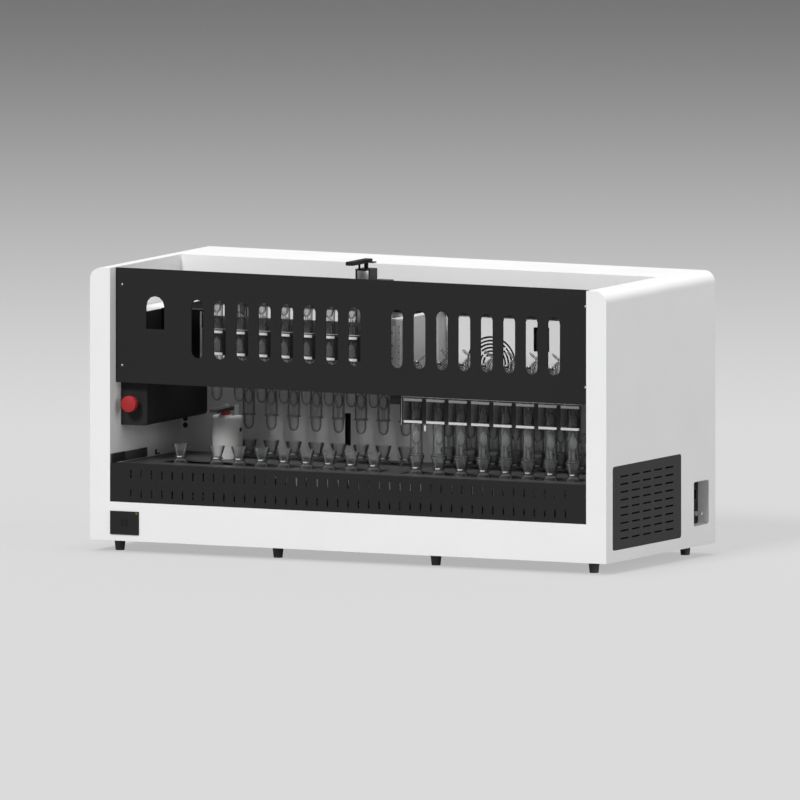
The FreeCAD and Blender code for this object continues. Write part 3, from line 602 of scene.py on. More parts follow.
class Bench:
    """Modelling with operators, one piece at a time."""

    @staticmethod
    def clear() -> None:
        """Leaves edit mode and deselects everything."""
        if bpy.context.object and bpy.context.object.mode != "OBJECT":
            bpy.ops.object.mode_set(mode="OBJECT")
        bpy.ops.object.select_all(action="DESELECT")

    @staticmethod
    def settle(piece: bpy.types.Object) -> bpy.types.Object:
        """Applies a piece's place, turn and size to its mesh."""
        Bench.clear()
        piece.select_set(True)
        bpy.context.view_layer.objects.active = piece
        bpy.ops.object.transform_apply(location=True, rotation=True, scale=True)
        return piece

    @staticmethod
    def apply(piece: bpy.types.Object, kind: str, **settings: object) -> None:
        """Adds a modifier with settings and applies it."""
        Bench.clear()
        piece.select_set(True)
        bpy.context.view_layer.objects.active = piece
        made = piece.modifiers.new(kind.title(), kind)
        for key, value in settings.items():
            setattr(made, key, value)
        bpy.ops.object.modifier_apply(modifier=made.name)

    @staticmethod
    def smooth(piece: bpy.types.Object, degrees: float = 35.0) -> bpy.types.Object:
        """Shades a piece smooth up to an angle."""
        Bench.clear()
        piece.select_set(True)
        bpy.context.view_layer.objects.active = piece
        bpy.ops.object.shade_smooth_by_angle(angle=math.radians(degrees))
        return piece

    @staticmethod
    def block(name: str, low: Point, high: Point, bevel: float = 0.5, segments: int = 2) -> bpy.types.Object:
        """A bevelled block.

        Args:
            name: Name of the piece.
            low: Lowest corner, in cabinet millimetres.
            high: Highest corner, in cabinet millimetres.
            bevel: Width of its bevels, in millimetres.
            segments: Facets of each bevel.

        Returns:
            The piece.
        """
        Bench.clear()
        a, b = Vector(place(*low)), Vector(place(*high))
        bpy.ops.mesh.primitive_cube_add(size=1, location=(a + b) / 2, scale=b - a)
        piece = bpy.context.object
        piece.name = name
        Bench.settle(piece)
        if bevel:
            Bench.apply(piece, "BEVEL", width=bevel / 1000, segments=segments, limit_method="ANGLE")
        return Bench.smooth(piece)

    @staticmethod
    def lathe(
        name: str,
        profile: Sequence[tuple[float, float]],
        steps: int = 32,
        closed: bool = True,
    ) -> bpy.types.Object:
        """A turned form on the Z axis, drawn out ring by ring from a circle.

        Args:
            name: Name of the piece.
            profile: Radius and height of each ring in millimetres; a radius of 0 ends in a point.
            steps: Sides of each ring.
            closed: True where a first ring of some radius gets a flat end.

        Returns:
            The piece, standing on the origin.
        """
        Bench.clear()
        radius, height = profile[0]
        start = max(radius, 0.02) / 1000
        fill = "TRIFAN" if closed or radius == 0 else "NOTHING"
        bpy.ops.mesh.primitive_circle_add(
            vertices=steps, radius=start, fill_type=fill, location=(0, 0, height / 1000)
        )
        piece = bpy.context.object
        piece.name = name
        Bench.settle(piece)
        bpy.ops.object.mode_set(mode="EDIT")
        bpy.ops.mesh.select_mode(type="VERT")
        bpy.ops.mesh.select_all(action="SELECT")
        if fill == "TRIFAN":
            bpy.ops.mesh.select_all(action="DESELECT")
            bpy.ops.mesh.select_non_manifold(extend=False, use_wire=False, use_multi_face=False,
                                             use_non_contiguous=False, use_verts=False)
        now = start * 1000
        for next_radius, next_height in profile[1:]:
            goal = max(next_radius, 0.02)
            bpy.ops.mesh.extrude_region()
            bpy.ops.transform.translate(value=(0, 0, (next_height - height) / 1000))
            grow = goal / now
            centre = (0, 0, next_height / 1000)
            bpy.ops.transform.resize(value=(grow, grow, 1), center_override=centre)
            now, height = goal, next_height
        if profile[-1][0] == 0:
            bpy.ops.mesh.merge(type="CENTER")
        elif closed:
            bpy.ops.mesh.edge_face_add()
        bpy.ops.mesh.select_all(action="SELECT")
        bpy.ops.mesh.remove_doubles(threshold=0.00001)
        bpy.ops.mesh.normals_make_consistent(inside=False)
        bpy.ops.object.mode_set(mode="OBJECT")
        return Bench.smooth(piece)

    @staticmethod
    def delete_selected(piece: bpy.types.Object) -> None:
        """Deletes the faces that are marked as selected."""
        chosen = [polygon.select for polygon in piece.data.polygons]
        Bench.clear()
        piece.select_set(True)
        bpy.context.view_layer.objects.active = piece
        bpy.ops.object.mode_set(mode="EDIT")
        bpy.ops.mesh.select_mode(type="FACE")
        bpy.ops.mesh.select_all(action="DESELECT")
        bpy.ops.object.mode_set(mode="OBJECT")
        for polygon, wanted in zip(piece.data.polygons, chosen):
            polygon.select = wanted
        bpy.ops.object.mode_set(mode="EDIT")
        bpy.ops.mesh.delete(type="FACE")
        bpy.ops.object.mode_set(mode="OBJECT")

    @staticmethod
    def put(
        piece: bpy.types.Object, spot: Point, turn: tuple[float, float, float] = (0, 0, 0)
    ) -> bpy.types.Object:
        """Turns a piece by degrees and moves it to a point in cabinet millimetres."""
        piece.rotation_euler = [math.radians(angle) for angle in turn]
        piece.location = place(*spot)
        return Bench.settle(piece)

    @staticmethod
    def spin(piece: bpy.types.Object, centre: Point, degrees: float) -> bpy.types.Object:
        """Turns a piece about a point, around the depth axis."""
        Bench.clear()
        piece.select_set(True)
        bpy.context.view_layer.objects.active = piece
        bpy.context.scene.cursor.location = place(*centre)
        bpy.ops.object.origin_set(type="ORIGIN_CURSOR")
        piece.rotation_euler = (0, math.radians(degrees), 0)
        Bench.settle(piece)
        bpy.context.scene.cursor.location = (0, 0, 0)
        return piece

    @staticmethod
    def copies(piece: bpy.types.Object, offsets: Iterable[Point]) -> list[bpy.types.Object]:
        """Copies of a piece, each with its own mesh, moved by offsets in millimetres."""
        made = []
        for offset in offsets:
            twin = piece.copy()
            twin.data = piece.data.copy()
            bpy.context.scene.collection.objects.link(twin)
            twin.location = Vector(offset) / 1000
            made.append(Bench.settle(twin))
        return made

    @staticmethod
    def join(name: str, pieces: Sequence[bpy.types.Object]) -> bpy.types.Object:
        """Joins pieces into one object."""
        Bench.clear()
        for piece in pieces:
            piece.select_set(True)
        bpy.context.view_layer.objects.active = pieces[0]
        if len(pieces) > 1:
            bpy.ops.object.join()
        piece = bpy.context.view_layer.objects.active
        piece.name = name
        return piece

    @staticmethod
    def row(name: str, piece: bpy.types.Object, count: int, step: Point) -> bpy.types.Object:
        """One object from a row of equal copies."""
        offsets = [(step[0] * i, step[1] * i, step[2] * i) for i in range(1, count)]
        return Bench.join(name, [piece, *Bench.copies(piece, offsets)])


def dress(piece: bpy.types.Object, material: bpy.types.Material) -> bpy.types.Object:
    """Gives a piece one material."""
    piece.data.materials.clear()
    piece.data.materials.append(material)
    return piece


def finish(
    piece: bpy.types.Object,
    material: bpy.types.Material,
    body: Body,
    stands_for: Sequence[str] = (),
) -> bpy.types.Object:
    """Dresses a new piece and hangs it on its body.

    Args:
        piece: The piece.
        material: Its finish.
        body: The body it rides on.
        stands_for: CAD nodes that it replaces.

    Returns:
        The piece.
    """
    dress(piece, material)
    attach(piece, body.value)
    if stands_for:
        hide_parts(*stands_for)
    LOG.info("%s on %s", piece.name, body.value)
    return piece


def paint(nodes: dict[str, bpy.types.Material]) -> None:
    """Gives CAD nodes their finishes."""
    for name, material in nodes.items():
        dress(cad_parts[name], material)
        LOG.info("%s painted %s", name, material.name)


# Sub-assemblies


@dataclass
class Cabinet:
    """Housings, deck, heating plates and the dark sheets of painted shade inside what opens into the housings."""

    palette: Palette
    grommets: Sequence[float] = (268.0, 251.0)
    grommet_x: float = 67.0
    wall_y: float = 394.0

    def build(self) -> None:
        """Paints the cabinet and adds the painted shade in its openings, its grommets and ledge."""
        p = self.palette
        paint({
            "left_side_housing": p.white,
            "right_side_housing": p.white,
            "front_rail": p.white,
            "rear_housing": p.white,
            # The base pan takes the dark deck paint as painted shade for the space under the deck.
            "base_pan": p.deck,
            "deck_plate": p.deck,
            "heating_plates": p.iron,
            "feet": p.rubber,
            "panel_brackets": p.fitting,
            "lift_columns": p.column,
        })
        self.line_openings()
        self.add_ledge()
        self.add_grommets()

    def line_openings(self) -> None:
        """Puts dark sheets, as painted shade, in the duct behind the side grille and in the ports of the rear wall.
        """
        p = self.palette
        # Painted shade: each opening gets a thin near-black box, open on its outer side.
        duct = Bench.block("duct_painted_shade", (1393.2, 51, 44), (1417.5, 401, 222), 0)
        self.open_side(duct, Vector((1, 0, 0)))
        Bench.apply(duct, "SOLIDIFY", thickness=0.0006, offset=0)
        finish(duct, p.dark, Body.CABINET)
        for name, low, high in (
            ("column_port_painted_shade", (506.5, 394.3, 220.5), (521.5, 405.5, 299.5)),
            ("wall_port_painted_shade", (1025.5, 394.3, 475.5), (1067.5, 405.5, 534.5)),
        ):
            shade_sheet = Bench.block(name, low, high, 0)
            self.open_side(shade_sheet, Vector((0, -1, 0)))
            Bench.apply(shade_sheet, "SOLIDIFY", thickness=0.0006, offset=0)
            finish(shade_sheet, p.dark, Body.CABINET)

    @staticmethod
    def open_side(piece: bpy.types.Object, side: Vector) -> None:
        """Deletes the faces of a piece that look one way."""
        for polygon in piece.data.polygons:
            polygon.select = polygon.normal.dot(side) > 0.9
        Bench.delete_selected(piece)

    def add_ledge(self) -> None:
        """The low strip on the left wall: a black end and a grey run."""
        p = self.palette
        end = Bench.block("ledge_end", (55, 2, 191.5), (60, 77, 214), 0.6)
        finish(end, p.black, Body.CABINET)
        run = Bench.block("ledge_run", (55, 77.2, 190), (59, 200, 213), 0.6)
        finish(run, p.deck, Body.CABINET)
        upright = Bench.block("stop_upright", (55, 250, 190.2), (57.5, 256, 203), 0.4)
        toe = Bench.block("stop_toe", (55, 256, 190.2), (57.5, 272, 193.5), 0.4)
        finish(Bench.join("ledge_stop", [upright, toe]), p.black, Body.CABINET)

    def add_grommets(self) -> None:
        """Two black cable grommets in the rear wall."""
        rings = []
        for z in self.grommets:
            ring = Bench.lathe(
                "grommet", [(2.2, 0), (6.6, 0), (6.6, 1.2), (5.6, 2.0), (3.0, 2.0), (2.2, 1.2)], 24
            )
            rings.append(Bench.put(ring, (self.grommet_x, self.wall_y, z), (90, 0, 0)))
        finish(
            Bench.join("wall_grommets", rings), self.palette.grommet, Body.CABINET
        )


@dataclass
class FrontPanels:
    """The slotted upper panel, the perforated band and their screws."""

    palette: Palette
    screw_x: Sequence[float] = (73.0, 1347.0)
    screw_z: Sequence[float] = (431.5, 631.6)
    face_y: float = 31.5

    def build(self) -> None:
        """Paints both panels and sets four pan-head screws."""
        paint({
            "upper_front_panel": self.palette.panel,
            "lower_front_panel": self.palette.panel,
        })
        profile = [(3.0, 0), (3.0, 0.8), (2.4, 1.5), (1.1, 1.9), (1.1, 1.1), (0, 1.1)]
        screws = []
        for x in self.screw_x:
            for z in self.screw_z:
                head = Bench.lathe("screw", profile, 20)
                screws.append(Bench.put(head, (x, self.face_y, z), (90, 0, 0)))
        finish(Bench.join("panel_screws", screws), self.palette.screw, Body.CABINET)


@dataclass
class PowerPanel:
    """Switch plate with its button and lamp."""

    palette: Palette
    button: Point = (96.0, -3.0, 46.0)
    side: float = 16.2

    def build(self) -> None:
        """Paints the plate and lamp, and models the dished button."""
        paint({"power_panel": self.palette.panel, "power_lamp": self.palette.lamp})
        x, y, z = self.button
        half = self.side / 2
        button = Bench.block("button", (x - half, y, z - half), (x + half, y + 2.4, z + half), 0.7, 3)
        Bench.clear()
        button.select_set(True)
        bpy.context.view_layer.objects.active = button
        for polygon in button.data.polygons:
            polygon.select = polygon.normal.y < -0.99 and polygon.area > 0.0001
        bpy.ops.object.mode_set(mode="EDIT")
        bpy.ops.mesh.select_mode(type="FACE")
        bpy.ops.mesh.inset(thickness=0.0022, depth=0)
        bpy.ops.mesh.inset(thickness=0.0006, depth=-0.0006)
        bpy.ops.object.mode_set(mode="OBJECT")
        Bench.smooth(button)
        finish(button, self.palette.button, Body.SWITCH, ["power_button"])


@dataclass
class SideConnections:
    """Side grille, connection bay, mains inlet and hose port."""

    palette: Palette
    pins: Sequence[tuple[float, float]] = ((-4.5, -6.0), (-4.5, 6.0), (4.5, 0.0))
    inlet: Point = (1390.6, 522.0, 126.0)

    def build(self) -> None:
        """Paints the fittings and sleeves the contacts."""
        p = self.palette
        paint({
            "side_grille": p.grille,
            "connection_plate": p.panel,
            "mains_inlet": p.black,
            "hose_port": p.vessel,
        })
        x, y, z = self.inlet
        contacts = []
        for dy, dz in self.pins:
            contacts.append(
                Bench.block(
                    "contact",
                    (x + 1.2, y + dy - 1.1, z + dz - 1.1),
                    (x + 10.4, y + dy + 1.1, z + dz + 1.1),
                    0.3,
                )
            )
        # Painted shade: the contacts take the dark blackened steel, standing for the shade inside the inlet.
        finish(Bench.join("inlet_contacts", contacts), p.dull, Body.CABINET)


@dataclass
class DosingHousing:
    """The black box at the left with the emergency stop."""

    palette: Palette
    centre: tuple[float, float] = (92.0, 336.0)
    head: Sequence[tuple[float, float]] = (
        (0, 26.0), (18.6, 26.0), (19.5, 26.3), (20.0, 27.2), (20.0, 40.2),
        (19.5, 41.2), (18.4, 41.9), (14.6, 42.3), (13.2, 43.2), (12.9, 44.9), (7.2, 44.9), (7.2, 40.0),
    )

    def build(self) -> None:
        """Paints the housing and stem, and models the mushroom head with its collar."""
        p = self.palette
        paint({"dosing_housing": p.dosing, "stop_stem": p.black})
        x, z = self.centre
        profile = [(radius, 45.0 - y) for radius, y in reversed(self.head)]
        head = Bench.lathe("stop_head_cap", profile, 48, closed=False)
        Bench.put(head, (x, 45.0, z), (90, 0, 0))
        finish(head, p.red, Body.STOP, ["stop_head"])
        collar = Bench.lathe(
            "stop_collar_ring", [(8.2, 0), (15.4, 0), (15.4, 4.2), (14.4, 5.3), (8.2, 5.3)], 40, closed=False
        )
        Bench.put(collar, (x, 61.0, z), (90, 0, 0))
        finish(collar, p.black, Body.CABINET)
        # Painted light: a white sheet on the black housing's top stands for the light that falls on it.
        lit_top_sheet = Bench.block("dosing_top_painted_light", (55.4, 62.5, 564.1), (126.6, 393.5, 565.6), 0.5)
        finish(lit_top_sheet, p.white, Body.CABINET)


@dataclass
class CondenserRack:
    """Eight glass condensers in their comb, with clamp bars and carriages."""

    palette: Palette
    bank: Bank
    steps: int = 28
    jacket: Sequence[tuple[float, float]] = (
        (0, 198.4), (4.6, 199.0), (7.6, 200.8), (9.7, 203.6), (11.4, 207.6), (12.6, 213.0),
        (13.0, 221.0), (13.0, 229.6), (13.6, 232.2), (15.0, 233.4), (15.0, 448.0), (14.2, 453.0),
        (12.0, 456.6), (8.6, 458.0),
    )
    flange: Sequence[tuple[float, float]] = (
        (15.2, 233.3), (18.4, 233.5), (19.0, 234.5), (18.4, 235.6), (15.2, 236.2),
    )
    bulbs: Sequence[float] = (279.0, 333.0, 387.0, 436.0)
    bulb_radius: float = 11.6
    bulb_half: float = 20.0
    stem: float = 3.4

    def build(self) -> None:
        """Paints the comb, bars and carriages, and models the glass."""
        p = self.palette
        label = self.bank.label
        paint({
            f"{label}_rack_frame": p.comb,
            f"{label}_rack_bars": p.acrylic,
            f"{label}_rack_carriages": p.steel,
        })
        self.add_glass("jackets", self.outer_profile(), p.jacket, [f"{label}_condensers"])
        self.add_glass("bulbs", self.inner_profile(), p.inner_glass, [])
        self.add_glass("flanges", list(self.flange), p.ground, [])
        self.add_nozzles()
        self.add_trim()

    def add_trim(self) -> None:
        """Pale edge strips along the comb's top and left end, and a small tab under it."""
        left = self.bank.first - 31.7
        right = self.bank.first + PITCH * (PLACES - 1) + 31.7
        front = self.bank.row - 20.0
        lift = self.bank.raised
        top = Bench.block("top", (left, front - 0.7, lift + 377.2), (right, front, lift + 378.6), 0.2)
        end = Bench.block("end", (left, front - 0.7, lift + 307.2), (left + 1.4, front, lift + 377), 0.2)
        tab = Bench.block(
            "tab",
            (self.bank.first + 30.5, front + 1.0, lift + 294.0),
            (self.bank.first + 35.5, front + 2.4, lift + 309.0),
            0.3,
        )
        trim = Bench.join(f"{self.bank.label}_rack_trim", [top, end, tab])
        finish(trim, self.palette.fitting, self.bank.body)

    def inner_profile(self) -> list[tuple[float, float]]:
        """The inner tube: a stem that widens into a chain of bulbs."""
        rings = [(self.stem, 236.5)]
        for middle in self.bulbs:
            for step in range(-4, 5):
                angle = step * math.pi / 9.2
                swell = self.bulb_radius * math.cos(angle)
                rings.append((max(self.stem, swell), middle + self.bulb_half * math.sin(angle)))
        rings.append((self.stem, 457.0))
        return rings

    def outer_profile(self) -> list[tuple[float, float]]:
        """The jacket's rings, drawn in to the neck that its row of condensers has."""
        rings = list(self.jacket)
        if self.in_front:
            rings += [(7.4, 460.0), (7.4, 462.4)]
        else:
            rings += [(6.8, 461.0), (5.6, 466.0), (7.0, 468.6), (6.8, 470.4), (4.6, 471.2)]
        return rings

    @property
    def in_front(self) -> bool:
        """True for the two racks of the front row."""
        return self.bank.row == FRONT_ROW

    def add_glass(
        self,
        part: str,
        profile: list[tuple[float, float]],
        material: bpy.types.Material,
        stands_for: list[str],
    ) -> None:
        """Turns one form and repeats it along the rack."""
        name = f"{self.bank.label}_{part}"
        one = Bench.lathe(name, profile, self.steps, closed=False)
        Bench.put(one, (self.bank.first, self.bank.row, self.bank.raised))
        row = Bench.row(name, one, PLACES, (PITCH, 0, 0))
        finish(row, material, self.bank.body, stands_for)

    def add_nozzles(self) -> None:
        """A slanted hose nozzle with a ribbed end on each neck, and the front row's stoppers."""
        p = self.palette
        ribs = [(2.6, 0.0)]
        for step in range(3):
            base = 10.0 + 3.6 * step
            ribs += [(2.6, base), (3.9, base + 0.6), (2.6, base + 2.9)]
        ribs += [(2.2, 25.0)]
        side = 1.0 if self.in_front else -1.0
        nozzle = Bench.lathe("nozzle", ribs, 16, closed=False)
        start = (self.bank.first + side * 3.5, self.bank.row - 1.0, self.bank.raised + 463.5)
        Bench.put(nozzle, start, (0, 50.0 * side, 0))
        self.repeat("nozzles", nozzle, p.ground)
        if not self.in_front:
            return
        stopper = Bench.lathe(
            "stopper", [(0, 447.0), (5.6, 447.0), (6.4, 460.4), (6.4, 461.4), (5.8, 461.9), (0, 461.9)], 20
        )
        Bench.put(stopper, (self.bank.first, self.bank.row, self.bank.raised))
        self.repeat("stoppers", stopper, p.dark)
        cap = Bench.lathe("cap", [(0, 462.0), (5.6, 462.0), (5.6, 464.6), (4.8, 465.4), (0, 465.4)], 20)
        Bench.put(cap, (self.bank.first, self.bank.row, self.bank.raised))
        self.repeat("caps", cap, p.screw)

    def repeat(self, part: str, piece: bpy.types.Object, material: bpy.types.Material) -> None:
        """Repeats a piece along the rack.

        Args:
            part: Name of the part.
            piece: The first piece.
            material: Its finish.
        """
        row = Bench.row(f"{self.bank.label}_{part}", piece, PLACES, (PITCH, 0, 0))
        finish(row, material, self.bank.body)

@dataclass
class FlaskRow:
    """A row of conical flasks with flared mouths."""

    palette: Palette
    label: str
    first: float
    row: float
    count: int
    labelled: Sequence[int] = ()
    steps: int = 28
    profile: Sequence[tuple[float, float]] = (
        (9.2, 196.5), (10.4, 201.0), (13.4, 211.0), (16.6, 222.4), (18.4, 230.4), (19.0, 231.8),
        (19.8, 231.6), (19.9, 230.2), (18.6, 225.6), (15.0, 213.6), (12.2, 205.6), (11.2, 201.6),
        (11.0, 199.0), (12.4, 196.2), (16.6, 192.6), (17.8, 187.6), (19.2, 172.0), (21.8, 152.0), (26.6, 117.5),
        (27.9, 109.0), (27.4, 105.8), (25.0, 104.2), (0, 104.2),
    )

    def build(self) -> None:
        """Models one flask, repeats it and adds the joint rings."""
        flask = Bench.lathe(f"{self.label}_glass", list(self.profile), self.steps, closed=False)
        Bench.put(flask, (self.first, self.row, 0))
        row = Bench.row(f"{self.label}_glass", flask, self.count, (PITCH, 0, 0))
        finish(row, self.palette.glass, Body.CABINET, [self.label])
        ring = Bench.lathe(
            f"{self.label}_rings",
            [(11.1, 199.2), (14.4, 199.4), (15.8, 200.6), (16.0, 202.0), (15.2, 203.4), (13.4, 204.2), (12.0, 204.0)],
            self.steps,
            closed=False,
        )
        Bench.put(ring, (self.first, self.row, 0))
        rings = Bench.row(f"{self.label}_rings", ring, self.count, (PITCH, 0, 0))
        finish(Bench.smooth(rings, 60.0), self.palette.joint, Body.CABINET)
        if self.labelled:
            self.add_labels()

    def add_labels(self) -> None:
        """Blank write-on patches on the fronts of some mouths."""
        labels = []
        for number in self.labelled:
            patch = Bench.lathe("label", [(17.0, 221.6), (18.4, 226.0), (19.6, 230.0)], 48, closed=False)
            for polygon in patch.data.polygons:
                polygon.select = polygon.center.y > -0.0125
            Bench.delete_selected(patch)
            Bench.apply(patch, "SOLIDIFY", thickness=0.0002, offset=1)
            labels.append(Bench.put(patch, (self.first + PITCH * number, self.row, 0)))
        finish(Bench.join(f"{self.label}_labels", labels), self.palette.label, Body.CABINET)


@dataclass
class LiftRails:
    """Linear rails on the lift columns, with dark discs as painted shade in the wells of their countersunk screws."""

    palette: Palette
    faces: Sequence[tuple[float, float]] = (
        (237.75, 1.0), (756.0, -1.0), (784.0, 1.0), (1302.15, -1.0),
    )
    rows: Sequence[float] = (156.0, 334.0)
    pitch: float = 24.0
    lowest: float = 392.0

    def build(self) -> None:
        """Paints the rails, and adds dark discs as painted shade in their screw wells, and the middle column's face
        strips.
        """
        paint({"lift_rails": self.palette.steel})
        wells = []
        for face, side in self.faces:
            for row in self.rows[:1]:
                # Painted shade: a thin dark disc stands for the shade in each screw well.
                well = Bench.lathe("well", [(0, 0), (2.4, 0), (2.1, 0.35), (0, 0.35)], 12)
                x = face + side * 6.5
                Bench.put(well, (x, row, self.lowest), (0, 90 * side, 0))
                wells.append(Bench.row("wells", well, 7, (0, 0, self.pitch)))
        finish(Bench.join("rail_screw_wells", wells), self.palette.dark, Body.CABINET)
        self.add_face_strips()

    def add_face_strips(self) -> None:
        """Two strips on the middle column's front, with dark discs as painted shade in their screw holes."""
        light = Bench.block("light", (771, 140.8, 396), (783.8, 142, 565.8), 0.3)
        edge = Bench.block("edge", (232.8, 140.8, 384), (237.7, 142, 562), 0.3)
        finish(Bench.join("face_strips_light", [light, edge]), self.palette.label, Body.CABINET)
        foot = Bench.block("column_foot", (755.4, 139.8, 355.4), (784.6, 166, 379), 0.8)
        finish(foot, self.palette.black, Body.CABINET)
        grey = Bench.block("face_strip_grey", (756.5, 141.2, 384), (770.6, 142, 548), 0.3)
        finish(grey, self.palette.fitting, Body.CABINET)
        holes = []
        for x, y, radius, count, step in ((779.5, 140.8, 1.3, 10, 16.0), (761.0, 141.2, 2.0, 5, 32.0)):
            # Painted shade: a thin dark disc stands for the shade in each hole.
            hole = Bench.lathe("hole", [(0, 0), (radius, 0), (radius * 0.9, 0.25), (0, 0.25)], 12)
            Bench.put(hole, (x, y, 404.0), (90, 0, 0))
            holes.append(Bench.row("holes", hole, count, (0, 0, step)))
        finish(Bench.join("face_strip_holes", holes), self.palette.dark, Body.CABINET)


@dataclass
class Fan:
    """Fan with a wire guard on the rear wall."""

    palette: Palette
    x: float = 909.0
    z: float = 441.0
    wall_y: float = 394.0
    rings: Sequence[tuple[float, float]] = (
        (49.6, 53.7), (40.9, 45.0), (32.2, 36.3), (23.5, 27.6), (0.5, 18.5),
    )
    rim: tuple[float, float] = (62.8, 67.0)

    def build(self) -> None:
        """Paints the rotor and models the guard, and dark sheets in the well as painted shade."""
        p = self.palette
        paint({"fan_rotor": p.dark})
        pieces = []
        for inner, outer in self.rings:
            profile = [(inner, 0), (outer, 0), (outer, 1.6), (inner, 1.6), (inner, 0)]
            ring = Bench.lathe("ring", profile, 72, closed=False)
            pieces.append(Bench.put(ring, (self.x, self.wall_y, self.z), (90, 0, 0)))
        for turn in (45, 135):
            low, high = (-1.5, 0.3, -59.8), (1.5, 1.4, 59.8)
            spoke = Bench.block("spoke", self.moved(low), self.moved(high), 0.2)
            Bench.spin(spoke, self.moved((0, 0, 0)), turn)
            pieces.append(spoke)
        guard = Bench.smooth(Bench.join("fan_guard_rings", pieces))
        finish(guard, p.white, Body.CABINET, ["fan_guard"])
        inner, outer = self.rim
        rim = Bench.lathe(
            "fan_rim", [(inner, 0), (outer, 0), (outer, 0.7), (inner, 0.7), (inner, 0)], 80, closed=False
        )
        Bench.put(rim, (self.x, self.wall_y, self.z), (90, 0, 0))
        finish(rim, p.dark, Body.CABINET)
        # Painted shade: dark sheets cover the well's side and floor.
        well = Bench.lathe("fan_well_painted_shade", [(57.6, 0.2), (57.6, 29.0), (57.0, 29.0), (57.0, 0.2)], 64, False)
        Bench.put(well, (self.x, self.wall_y, self.z), (-90, 0, 0))
        finish(well, p.dark, Body.CABINET)
        floor = Bench.lathe("fan_well_floor_painted_shade", [(16.0, 29.0), (57.4, 29.0), (57.4, 29.6), (16.0, 29.6)], 64, False)
        Bench.put(floor, (self.x, self.wall_y, self.z), (-90, 0, 0))
        finish(floor, p.dark, Body.CABINET)

    def moved(self, offset: Point) -> Point:
        """A point counted from the fan's centre on the wall."""
        return (self.x + offset[0], self.wall_y - 1.6 + offset[1], self.z + offset[2])


@dataclass
class Robot:
    """Beam, carriage, motor and nozzle bar."""

    palette: Palette
    x: float = 635.0

    def build(self) -> None:
        """Paints the robot and adds the motor's front plate and the cable tray under the beam."""
        p = self.palette
        paint({
            "robot_beam": p.panel,
            "robot_carriage": p.black,
            "robot_motor_cover": p.black,
            "robot_motor": p.motor,
            "robot_cable_bracket": p.panel,
            "nozzle_bar": p.steel,
        })
        plate = Bench.block("motor_front_plate", (620.5, 231.2, 641.5), (651, 233.4, 672), 0.6)
        finish(plate, p.motor, Body.ROBOT)
        cover = Bench.block("beam_cable_tray", (58, 389, 556.5), (1362, 393.8, 584.9), 0.8, 2)
        finish(cover, p.dosing, Body.CABINET)


@dataclass
class RinsePump:
    """White vessel that is pumped by pressing its lever."""

    palette: Palette
    x: float = 251.0
    y: float = 257.0
    body: Sequence[tuple[float, float]] = (
        (0, 188.2), (32.0, 188.2), (33.4, 189.4), (35.2, 205.0), (37.4, 224.0), (37.9, 236.0),
        (37.9, 262.0), (37.6, 288.0), (37.0, 293.6), (35.8, 295.0), (0, 295.0),
    )
    plunger_ahead: float = 12.0
    bore_radius: float = 12.4
    bore_foot: float = 278.0
    bore_cut_to: float = 300.0

    def build(self) -> None:
        """Paints lever and plunger, and models the tapered vessel."""
        p = self.palette
        paint({
            "press_lever": p.dull,
            "lever_bracket": p.fitting,
            "press_plunger": p.red,
        })
        vessel = Bench.lathe("rinse_vessel_shell", list(self.body), 56, closed=False)
        Bench.put(vessel, (self.x, self.y, 0))
        self.cut_bore(vessel)
        collar = Bench.lathe(
            "vessel_collar", [(13.0, 294.8), (17.5, 294.8), (17.5, 297.2), (16.6, 298.0), (13.0, 298.0)], 32, False
        )
        Bench.put(collar, (self.x, self.y - self.plunger_ahead, 0))
        finish(vessel, p.vessel, Body.CABINET, ["rinse_vessel"])
        finish(collar, p.vessel, Body.CABINET)
        plug = Bench.lathe("vessel_plug", [(0, 0), (5.4, 0), (5.4, 1.2), (4.4, 1.9), (0, 1.9)], 24)
        Bench.put(plug, (self.x + 37.0, self.y - 3.0, 262.0), (0, 90, 0))
        finish(plug, p.button, Body.CABINET)

    def cut_bore(self, vessel: bpy.types.Object) -> None:
        """Cuts the well that the plunger slides in."""
        drill = Bench.lathe(
            "drill", [(self.bore_radius, self.bore_foot), (self.bore_radius, self.bore_cut_to)], 40
        )
        Bench.put(drill, (self.x, self.y - self.plunger_ahead, 0))
        Bench.apply(vessel, "BOOLEAN", operation="DIFFERENCE", object=drill, solver="EXACT")
        bpy.data.objects.remove(drill)
        Bench.smooth(vessel)


